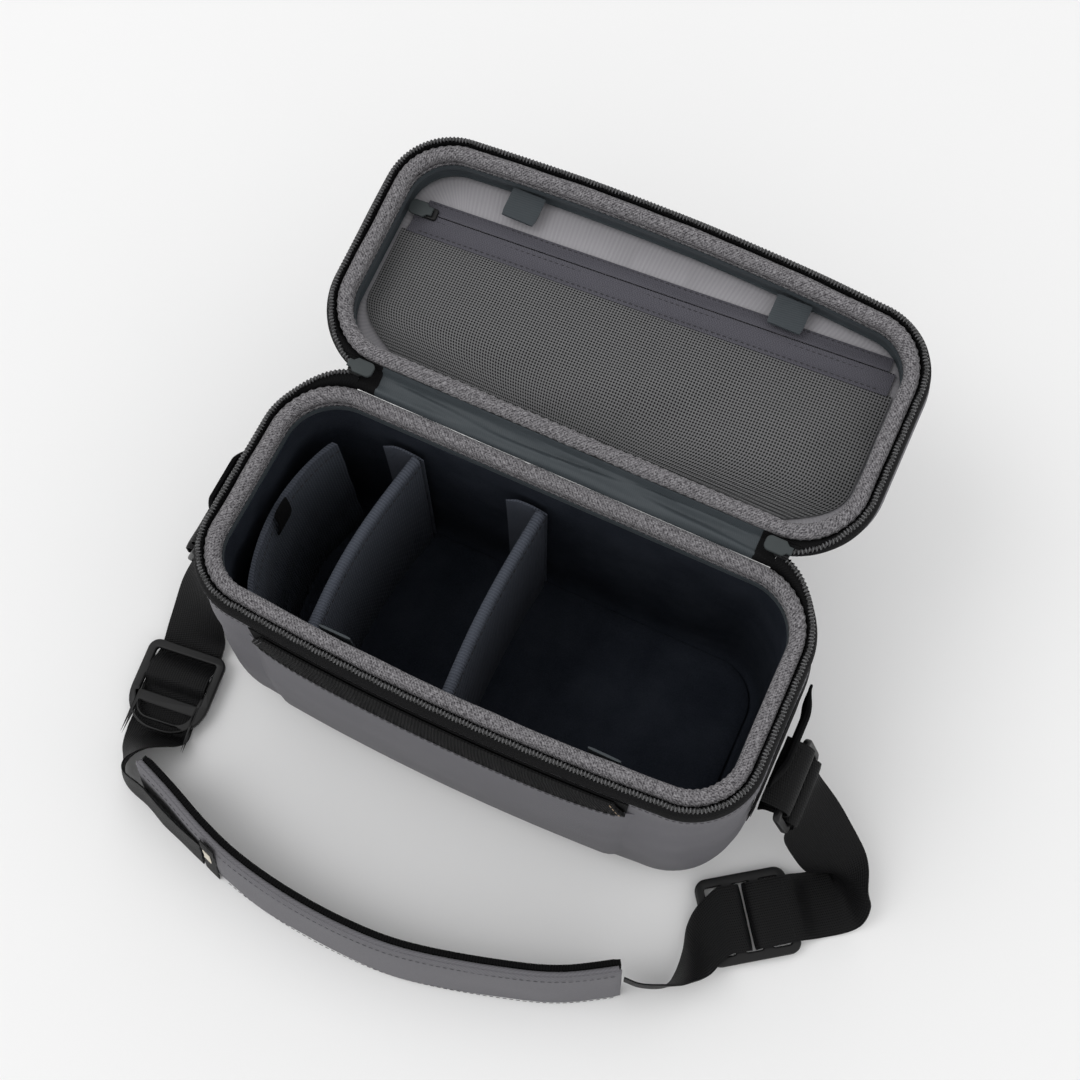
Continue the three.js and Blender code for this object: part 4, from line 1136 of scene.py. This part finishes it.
def cloth_hinge():
    across = 26
    x = np.linspace(-110, 110, 200)
    grid = np.stack([hinge_rows(at, at, across) for at in x])
    v = np.linspace(0, 1, across + 1)[None, :]
    share = np.sin(np.pi * v) ** 0.7
    folds = 0
    for middle, drift, reach in ((0.25, 0.13, 47.0), (0.48, -0.16, 33.0), (0.72, 0.12, 58.0)):
        ridge = v - middle - drift * np.sin(grid[..., 0] / reach + 5 * middle)
        folds = folds + np.exp(-((ridge / 0.075) ** 2))
    fine = rumple(grid * (0.2, 2.0, 2.0), 8, 1.6, 4.2)
    grid[..., 2] += share * (0.95 * folds - 0.6 + fine)
    made = piece("hinge_cloth", both_sides(grid, 0.8), SLATE, body=None, nodes=["hinge_fabric"])
    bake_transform(made)
    for word, side in SIDES:
        rows = []
        for t in np.linspace(0, 1, 12):
            rows.append(hinge_rows(side * lerp(109.6, SLIDER_X - 0.5, t), side * lerp(109.6, 134, t), across))
        gusset = piece(f"hinge_end_cloth_{word}", both_sides(np.stack(rows), 0.9), TAPE, body=None,
                       nodes=[f"hinge_gusset_{word}"])
        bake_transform(gusset)


def pull_outline(length, neck, width):
    """A rounded tongue along +X from its narrow neck."""
    points = [(0, -neck / 2), (2.5, -neck / 2)]
    points += [(4.5, -width / 2), (length - 3, -width / 2)]
    points += [(length - 3 + 3 * math.sin(a), -width / 2 + 3 - 3 * math.cos(a))
               for a in np.radians([15, 30, 45, 60, 75, 90])]
    return points + [(x, -y) for x, y in points[::-1]]


def main_sliders():
    for word, side in SIDES:
        top = placed((side * (SLIDER_X + 1), HINGE_Y + 0.3, HINGE_Z + 1.1))
        low = placed((side * (SLIDER_X + 1), HINGE_Y + 0.3, HINGE_Z - 1.5))
        shape = rounded_box(4.0, 3.3, (1.5, 1.5, 1.5, 1.5))
        moulded(f"slider_{word}", [shape], 1.7, 0.6, top, PLASTIC, nodes=[f"zip_slider_{word}"])
        moulded(f"slider_{word}_base", [shape], 1.5, 0.5, low, PLASTIC)
        moulded(f"slider_{word}_bridge", [rounded_box(1.4, 1.6, (0.5,) * 4)], 3.6, 0.4,
                placed((side * (SLIDER_X + 2.4), HINGE_Y + 0.3, HINGE_Z)), PLASTIC)
        way = placed((side * (SLIDER_X + 5.5), HINGE_Y + 0.5, HINGE_Z + 3.65), (0, 0, 180 if side > 0 else 0))
        moulded(f"pull_{word}", [pull_outline(15, 4.4, 8.6)], 2.2, 0.8, way, RUBBER, f"zip_pull_{word}",
                nodes=[f"zip_pull_{word}"])


# ---------------------------------------------------------------- lid, shaped closed and turned back
LID_PROFILE = (
    (ZIP_BAND, 4, 4, 0), (16, 4.7, 4.7, 0), (20, 5, 5, 0), (27, 3, 3, -1.5), (33, -3, -3, -6),
    (36, -11, -11, -14), (38, -26, -26, -28),
)
LINING_FACE = 26.2          # height of the pale panel's face over the zip line
ZIP_SLANT = math.radians(-3.3)
ZIP_MIDDLE_Y = -35.0


def lid_piece(name, loops, material, nodes=()):
    return piece(name, open_lid(loops), material, "lid", nodes)


def lid_shell():
    profile = catmull(LID_PROFILE, 6)
    outer = np.stack([outline(RIM + h, *grow) for h, *grow in profile])
    outer[..., 2] += rumple(outer, 50, 0.8, 6.0) * smoothstep(outer[..., 2], RIM + 20, RIM + 34)
    inner = np.stack([outline(RIM + min(h, 34.6), *(g - SHELL_THICKNESS for g in grow))
                      for h, *grow in profile[::-1]])
    lid_piece("lid_moulded_shell", np.concatenate([inner, outer]), SHELL, ["lid_shell"])


def lid_rim():
    collar("lid_collar_roll", above_rim, open_lid, "lid", ["lid_collar"], seam=rim.length - 15, phase=1.3,
           slack=0.34)
    lid_piece("lid_zip_tape_cloth", tape_loops(above_rim), TAPE, ["lid_zip_tape"])
    lid_piece("lid_zip_teeth", coil_loops(RIM + COIL_OFF_RIM), COIL, ["lid_zip_coil"])


def lid_lining():
    outside = [(34.4, -27, -27, -29), (32.6, -12.6, -12.6, -15.6), (30.5, -5.7, -5.7, -8.7),
               (25.8, -0.4, -0.4, -4.9), (20, 1.4, 1.4, -3.5), (13.2, 0.5, 0.5, -3.5)]
    inside = catmull([(13.2, -8.6), (20, -8.2), (26, -8.6), (27.6, -10), (28, -14), (28, -30)], 4)
    rings = [outline(RIM + h, *grow) for h, *grow in outside]
    rings += [outline(RIM + h, grow) for h, grow in inside]
    loops = np.stack(rings)
    lid_piece("lid_side_lining", loops, SLATE, ["lid_lining"])
    face = [(27.9, -9.6), (27.4, -9.3), (26.5, -10.2), (LINING_FACE, -13), (LINING_FACE, -40)]
    pale = np.stack([outline(RIM + h, grow) for h, grow in face])
    pale[..., 2] += rumple(pale, 40, 0.5, 9.0)
    lid_piece("lid_pale_panel", pale, PALE_TWILL, ["lid_panel"])


def zip_line_y(x):
    return ZIP_MIDDLE_Y + math.tan(ZIP_SLANT) * x


def lid_strip(name, x0, x1, near, far, heights, nodes):
    """A strip along the pocket's zip: near and far are its edges from the zip line, in Y."""
    def place(v, u):
        x = lerp(x0, x1, v)
        wave = 0.35 * np.sin(x / 13) * np.sin(np.pi * u)
        height = np.interp(u, np.linspace(0, 1, len(heights)), heights)
        return x, zip_line_y(x) + lerp(near, far, u), RIM + height + wave
    return lid_piece(name, both_sides(grid_of(120, 8, place), 0.9), ZIP_CLOTH, nodes)


def lid_pocket():
    lid_strip("pocket_zip_upper", -136, 136, -8.6, -0.35, (25.6, 25.1, 24.4, 23.9),
              ["pocket_zip_tape_upper"])
    lid_strip("pocket_zip_lower", -140, 140, 0.35, 13.5, (23.9, 24.4, 24.4, 23.4),
              ["pocket_zip_tape_lower"])
    s = np.linspace(-140, 140, 700)[:, None]
    angle = np.arange(6)[None, :] * math.pi / 3
    radius = 0.75 + 0.22 * np.sin(2 * np.pi * s / 1.3 + angle)
    y = zip_line_y(s) + 0.9 * radius * np.cos(angle)
    z = RIM + 25.6 + 0.6 * radius * np.sin(angle)
    teeth = np.stack(np.broadcast_arrays(s, y, z), axis=-1)
    lid_piece("pocket_zip_teeth", teeth, COIL, ["pocket_zip_coil"])
    for row, shift in enumerate((-7.2, -2.4, 3.0, 11.6)):
        x = np.linspace(-134, 134, 160)
        height = np.interp(shift, (-8.6, -0.9, 0.9, 13.5), (25.0, 24.1, 24.1, 22.7))
        line = open_lid(np.column_stack([x, zip_line_y(x) + shift, np.full_like(x, RIM + height)]))
        stitches(f"pocket_zip_stitch_{row}", line, (0, 0, 1), DARK_THREAD, "lid", length=2.0, gap=1.4,
                 radius=0.22)

    def mesh_side(extra):
        def place(v, u):
            across = 2 * u - 1
            far = zip_line_y(MESH_HALF * across) + 12.6
            y = lerp(far, 58, v)
            half = MESH_HALF - 34 * np.clip((y - 26) / 32, 0, 1) ** 2.2
            bulge = 5.5 * np.sin(np.pi * v) ** 0.7 * (1 - across**6)
            waves = 1.0 * np.sin(across * 9 + 2.6 * v) * np.sin(np.pi * v) * (1 - across**8)
            tuck = 0.9 * np.exp(-(((across - 0.12) / 0.012) ** 2)) * np.sin(np.pi * v) ** 0.3
            return half * across, y, RIM + 24.6 - bulge - waves + tuck - extra
        return grid_of(44, 130, place)
    low = mesh_side(0.4)
    ripple = rumple(low, 24, 2.4, 7.7) * np.sin(np.pi * np.linspace(0, 1, 45))[:, None]
    low[..., 2] -= ripple
    high = low + np.array([0, 0, 0.8])
    made = lid_piece("mesh_panel", slab(low, high), MESH, ["mesh_pocket"])


def lid_frame(x, y, h, spin):
    """Matrix for a moulding on the open lid, from its place on the closed one, turned by spin degrees."""
    position = open_lid([x, y, RIM + h])
    return placed(position) @ Matrix.Rotation(-LID_OPEN, 4, "X") @ Matrix.Rotation(math.radians(spin), 4, "Z")


def pocket_slider():
    x = -132 * math.cos(ZIP_SLANT)
    slant = math.degrees(ZIP_SLANT)
    body = rounded_box(4.5, 3.5, (1.6, 1.6, 1.6, 1.6))
    moulded("pocket_slider_body", [body], 2.6, 0.7, lid_frame(x, zip_line_y(x), 23.0, slant), PLASTIC,
            "pocket_slider", ["pocket_slider"])
    pivot = -130 * math.cos(ZIP_SLANT)
    moulded("pocket_slider_pull", [pull_outline(14, 5, 9)], 1.8, 0.7,
            lid_frame(pivot, zip_line_y(pivot), 20.1, slant + 180), RUBBER, "pocket_pull", ["pocket_pull"])


def lid_tabs():
    for word, x0 in (("left", -84), ("right", 75)):
        def place(v, u, x0=x0):
            y = lerp(-58.4, -41.4, v)
            narrow = 1 - 0.06 * smoothstep(v, 0.75, 1.0)
            return x0 + 20 * (u - 0.5) * narrow, y, RIM + 18.2 + 1.2 * np.sin(np.pi * v * 0.8) * 0.6
        made = piece(f"lid_cloth_tab_{word}", open_lid(both_sides(grid_of(16, 14, place), 1.6)), SLATE,
                     f"lid_tab_{word}", [f"lid_tab_{word}"])


# ---------------------------------------------------------------- shoulder strap
LEFT_BUCKLE = {"middle": (-177.5, -97), "foot": 6.4, "turn": 7}
RIGHT_BUCKLE = {"middle": (188, -73), "foot": 4.0, "turn": -54.4}
BUCKLE_THICKNESS = 3.6


def threaded(at, side, path):
    """Stations of webbing threaded through a buckle: distance along it from its middle, and height."""
    angle = math.radians(at["turn"])
    x, y = at["middle"]
    across = (side * math.cos(angle), side * math.sin(angle), 0)
    return [((x - d * math.sin(angle), y + d * math.cos(angle), z), across) for d, z in path]


def ribbon(name, stations, nodes, squared):
    """Webbing through stations of (middle, direction across); it lies flat near a buckle.
    A squared one is kept square to its path; otherwise it follows the directions as they are given."""
    line = evenly(even_curve([(*p, *w) for p, w in stations], 14), 1.4)
    middles, acrosses = line[:, :3], line[:, 3:]
    ahead = np.gradient(middles, axis=0)
    ahead /= np.linalg.norm(ahead, axis=1)[:, None]
    if squared:
        acrosses = acrosses - ahead * (acrosses * ahead).sum(axis=1)[:, None]
    acrosses /= np.linalg.norm(acrosses, axis=1)[:, None]
    normal = np.cross(ahead, acrosses)
    w = np.linspace(-0.5, 0.5, 15)
    grid = middles[:, None] + acrosses[:, None] * (w * WEBBING_WIDTH)[None, :, None]
    reach = [np.linalg.norm(middles[:, :2] - at["middle"], axis=1) for at in (LEFT_BUCKLE, RIGHT_BUCKLE)]
    free = smoothstep(np.minimum(*reach), 28, 52)
    bow = 0.4 * (1 - 4 * w**2)
    soft = bow[None, :] + rumple(grid, 30, 0.8, 2.5)
    grid = grid + normal[:, None] * (free[:, None] * soft)[..., None]
    grid[..., 2] = np.maximum(grid[..., 2], WEBBING / 2 + 0.1)
    return piece(name, both_sides(grid, WEBBING), WEB, nodes=nodes)


PAD_LINE = ((-167, -157), (-143, -165.5), (-112, -177.5), (-88, -184.5), (-52, -190), (-12, -191.5),
            (23, -188.5), (79, -174), (111, -162), (147, -140))
PAD_HEIGHT = 53.0
PAD_LEAN = 9.0
PAD_SPLIT = 3.0             # depth at which the cover meets the air mesh
PIPING_RADIUS = 1.3
PAD_START, PAD_END = 0.01, 0.975
TAB_START = 0.19            # the webbing's end is sewn down here, under a small tab
pad_curve = evenly(even_curve([(*p, 0) for p in PAD_LINE], 40), 1.0)


def pad_frame(t):
    """Point on the pad's foot line at t from 0 to 1, and the level directions along it and inwards."""
    at = np.clip(t, 0, 1) * (len(pad_curve) - 1)
    read = lambda k: np.interp(at, np.arange(len(pad_curve)), pad_curve[:, k])
    tangent = np.gradient(pad_curve, axis=0)
    along = np.stack([np.interp(at, np.arange(len(pad_curve)), tangent[:, k]) for k in (0, 1)], axis=-1)
    along /= np.linalg.norm(along, axis=-1)[..., None]
    return np.stack([read(0), read(1)], axis=-1), along, np.stack([-along[..., 1], along[..., 0]], axis=-1)


def pad_point(t, depth, v):
    """Point of the pad: depth in from its outer face, v from its lower edge to its upper one."""
    t, depth, v = np.broadcast_arrays(np.asarray(t, float), depth, v)
    base, _, inward = pad_frame(t)
    plan = base + inward * (depth + PAD_LEAN * v)[..., None]
    return np.concatenate([plan, (0.4 + (PAD_HEIGHT - 0.4) * v)[..., None]], axis=-1)


def pad_layer(name, outer, inner, start, stop, crown, material, nodes, low=0.0, high=1.0, seed=0.0):
    """A long soft layer between two depths, rounded along its edges."""
    steps = max(int((stop - start) * 170), 6)
    t, v = np.meshgrid(np.linspace(start, stop, steps + 1), np.linspace(low, high, 19), indexing="ij")
    round_edge = np.sqrt(np.clip(1 - (2 * (v - low) / (high - low) - 1) ** 6, 0.0, 1))
    ends = np.sqrt(smoothstep(t, start - 1e-3, start + 0.012) * smoothstep(-t, -stop - 1e-3, -stop + 0.012))
    half = (inner - outer) / 2 * lerp(0.4, 1, round_edge * ends)
    middle = (inner + outer) / 2
    face = pad_point(t, middle - half - crown * round_edge * ends, v)
    soft = rumple(face, 34, 1.3, seed)
    face[..., 1] += soft * round_edge
    return piece(name, slab(face, pad_point(t, middle + half, v)), material, nodes=nodes)


def pad():
    cover = pad_layer("pad_cover_cloth", 0.3, PAD_SPLIT, PAD_START, PAD_END, 0.6, PAD_CLOTH, ["pad_cover"],
                      seed=2.0)
    inner = pad_layer("pad_air_mesh", 3.1, 9.0, PAD_START + 0.005, PAD_END, 0.0, AIR_MESH, ["pad_mesh"],
                      low=0.02, high=1.02, seed=3.0)
    pad_layer("pad_tab_cloth", -2.2, -0.5, TAB_START, TAB_START + 0.033, 0.0, WEB, ["pad_tab"])
    pad_layer("pad_tab_patch", -2.9, -2.2, TAB_START + 0.007, TAB_START + 0.025, 0.0, CREAM, [], 0.55, 0.8)
    for row, v in enumerate((0.07, 0.93)):
        t = np.linspace(TAB_START + 0.05 if row == 0 else 0.03, 0.965, 200)
        line = pad_point(t, -0.35, np.full_like(t, v))
        stitches(f"pad_stitch_{row}", line, (0, -1, 0), GREY_THREAD, length=2.4, gap=1.4, radius=0.24)
    t = np.linspace(PAD_START + 0.004, PAD_END - 0.004, 200)[:, None]
    angle = np.arange(8)[None, :] * math.pi / 4
    middle = pad_point(t + 0 * angle, PAD_SPLIT + PIPING_RADIUS * np.cos(angle), 1.0)
    middle[..., 2] += PIPING_RADIUS * np.sin(angle)
    piece("pad_top_piping", middle, PAD_CLOTH)


def buckle(name, position, turn_angle, loop, nodes):
    """Ladder buckle with rounded bars; loop adds a rounded pull loop past its last bar."""
    half_width, half_length, bar = 25.0, 27.0, 5.5
    inside = half_width - bar
    foot = 22.0 if loop else 7.0
    outlines = [rounded_box(half_width, half_length, (7, 7, foot, foot), steps=10)]
    outlines.append(shifted(rounded_box(inside, 5.5, (1.5,) * 4), 0, 16.0))
    outlines.append(shifted(rounded_box(inside, 5.25, (1.5,) * 4), 0, -0.25))
    if loop:
        outlines.append(shifted(rounded_box(inside - 1, 5.5, (1.5, 1.5, 10, 10), steps=8), 0, -16.2))
    else:
        outlines.append(shifted(rounded_box(inside, 5.25, (1.5,) * 4), 0, -16.25))
    place = placed(position, (0, 0, turn_angle))
    moulded(name, outlines, 3.6, 1.1, place, PLASTIC, nodes=nodes)


def strap():
    hook = [(178.8, 76), (179, 81.5), (183, 84.6), (187.4, 82), (188, 76.5), (188, 70)]
    hooked = lambda side: [((side * x, ANCHOR_Y, z), (0, 1, 0)) for x, z in hook]
    on_pad = lambda t, depth, v, way: (tuple(pad_point(t, depth, v)),
                                       tuple(way * (pad_point(t, 0, 1) - pad_point(t, 0, 0)) / PAD_HEIGHT))
    left_upper = [
        *hooked(-1), ((-187.5, -16, 61), (-0.2, 1, 0)), ((-187, -28, 48), (-0.45, 0.85, 0)),
        ((-185, -42, 31), (-0.8, 0.5, 0)), ((-183, -54, 16), (-0.97, 0.2, 0)),
        *threaded(LEFT_BUCKLE, -1, [(34, 7.5), (28, 4.9), (23, 4.6), (19.5, 5.6), (15.2, 9.2), (11.5, 11.4),
                                    (7.7, 11.7), (4.2, 11.3), (1.6, 8.2), (-0.6, 5.2), (-4, 3.9), (-8, 3.8)]),
    ]
    left_lower = [
        *threaded(LEFT_BUCKLE, -1, [(-10.4, 3.7), (-18, 3), (-26, 2.9)]),
        ((-174.4, -128.4, 6.9), (-0.95, -0.1, -0.28)), ((-176, -133, 11.8), (-0.82, -0.09, -0.56)),
        ((-177.6, -138.2, 15.8), (-0.63, -0.1, -0.77)), ((-177.6, -143.8, 18.3), (-0.43, -0.09, -0.9)),
        ((-177, -151, 19.6), (-0.25, -0.12, -0.96)), ((-171.5, -157, 21), (-0.1, -0.13, -0.98)),
        on_pad(0.04, -4, 0.42, -1), on_pad(0.085, -4.6, 0.42, -1), on_pad(0.13, -3.2, 0.42, -1),
        on_pad(TAB_START - 0.004, -1.5, 0.42, -1),
    ]
    right_lower = [
        (tuple(pad_point(0.982, 4, 0.43)), (-0.04, -0.05, 1)), ((147, -135.3, 21), (-0.04, -0.07, 1)),
        ((160, -129, 20), (-0.04, -0.1, 0.99)),
        ((164.5, -123, 19.6), (0.09, -0.24, 0.97)), ((167, -114, 17.6), (0.26, -0.46, 0.85)),
        ((168.2, -104.7, 14.8), (0.5, -0.66, 0.57)), ((170.5, -95.5, 13), (0.58, -0.79, 0.18)),
        ((172.8, -89, 11.6), (0.58, -0.81, 0.08)),
        *threaded(RIGHT_BUCKLE, 1, [(-14, 9.4), (-8.2, 9.2), (-5.1, 9), (-2.8, 7.5), (-1.5, 4)]),
    ]
    right_upper = [
        *hooked(1), ((190.5, -14, 61), (0.2, 1, 0)), ((202, -19, 44), (0.7, 0.7, 0)),
        ((219, -26, 25), (0.95, 0.2, -0.1)), ((234, -33, 11), (0.8, -0.6, 0)),
        ((234, -39, 3), (0.58, -0.81, 0)),
        *threaded(RIGHT_BUCKLE, 1, [(39, 2.2), (33.5, 5), (29, 8.4), (24, 9.3), (16, 9), (8, 9.2), (4.6, 9),
                                    (2.4, 7.5), (1.1, 4)]),
    ]
    ribbon("strap_left_upper_web", left_upper, ["strap_left_upper"], squared=True)
    ribbon("strap_left_lower_web", left_lower, ["strap_left_lower"], squared=False)
    ribbon("strap_right_lower_web", right_lower, ["strap_right_lower"], squared=False)
    ribbon("strap_right_upper_web", right_upper, ["strap_right_upper"], squared=True)
    for word, at, loop in (("left", LEFT_BUCKLE, True), ("right", RIGHT_BUCKLE, False)):
        position = (*at["middle"], at["foot"] + BUCKLE_THICKNESS / 2)
        buckle(f"buckle_{word}_frame", position, at["turn"], loop, [f"buckle_{word}"])
    for row, distance in enumerate((26.5, 23.5)):
        across = threaded(RIGHT_BUCKLE, 1, [(distance, 9.95 if row else 9.3)])[0]
        ends_at = [np.array(across[0]) + k * np.array(across[1]) for k in (-17, 17)]
        stitches(f"strap_loop_stitch_{row}", np.array(ends_at), (0, 0, 1), BLACK_THREAD, length=2.0)


# ---------------------------------------------------------------- camera, light and floor
def camera():
    data = bpy.data.cameras.new("camera")
    data.lens = 50
    data.sensor_width = 36
    obj = bpy.data.objects.new("camera", data)
    azimuth, elevation, distance = math.radians(25.2), math.radians(69.3), 0.774
    target = Vector((0.0071, 0.0312, 0.165))
    away = Vector((math.sin(azimuth) * math.cos(elevation), -math.cos(azimuth) * math.cos(elevation),
                   math.sin(elevation)))
    obj.location = target + away * distance
    obj.rotation_euler = away.to_track_quat("Z", "Y").to_euler()
    bpy.context.scene.collection.objects.link(obj)
    bpy.context.scene.camera = obj


def softbox(name, position, target, size, power, colour=(1, 1, 1)):
    data = bpy.data.lights.new(name, "AREA")
    data.shape = "RECTANGLE"
    data.size, data.size_y = size
    data.energy = power
    data.color = colour
    obj = bpy.data.objects.new(name, data)
    obj.location = position
    way = Vector(position) - Vector(target)
    obj.rotation_euler = way.to_track_quat("Z", "Y").to_euler()
    bpy.context.scene.collection.objects.link(obj)


def studio():
    world = bpy.data.worlds.new("studio")
    bpy.context.scene.world = world
    world.use_nodes = True
    background = world.node_tree.nodes["Background"]
    background.inputs["Color"].default_value = (1, 1, 1, 1)
    background.inputs["Strength"].default_value = 0.98
    softbox("key", (-3.5, -1.5, 6.0), (0, 0, 0.1), (3.4, 3.4), 90)
    paint = Paint("floor_paint", roughness=0.95, specular=0.1)
    paint.colour(paint.blend((0.83, 0.83, 0.83, 1), (0.85, 0.85, 0.85, 1), paint.noise(300)))
    size = 30.0
    mesh = bpy.data.meshes.new("floor")
    corners = [(-size, -size, 0), (size, -size, 0), (size, size, 0), (-size, size, 0)]
    mesh.from_pydata(corners, [], [(0, 1, 2, 3)])
    mesh.materials.append(paint.material)
    floor = bpy.data.objects.new("floor", mesh)
    bpy.context.scene.collection.objects.link(floor)
    bpy.context.scene.view_settings.view_transform = "Standard"


# ---------------------------------------------------------------- the whole scene
camera()
studio()
body_shell()
body_lining()
body_rim()
front_pocket()
back_panel()
ends()
organiser()
for word, front, middle, rear in DIVIDERS:
    divider(word, front, middle, rear)
wall_tabs()
lid_shell()
lid_lining()
lid_rim()
lid_pocket()
pocket_slider()
lid_tabs()
cloth_hinge()
main_sliders()
pad()
strap()
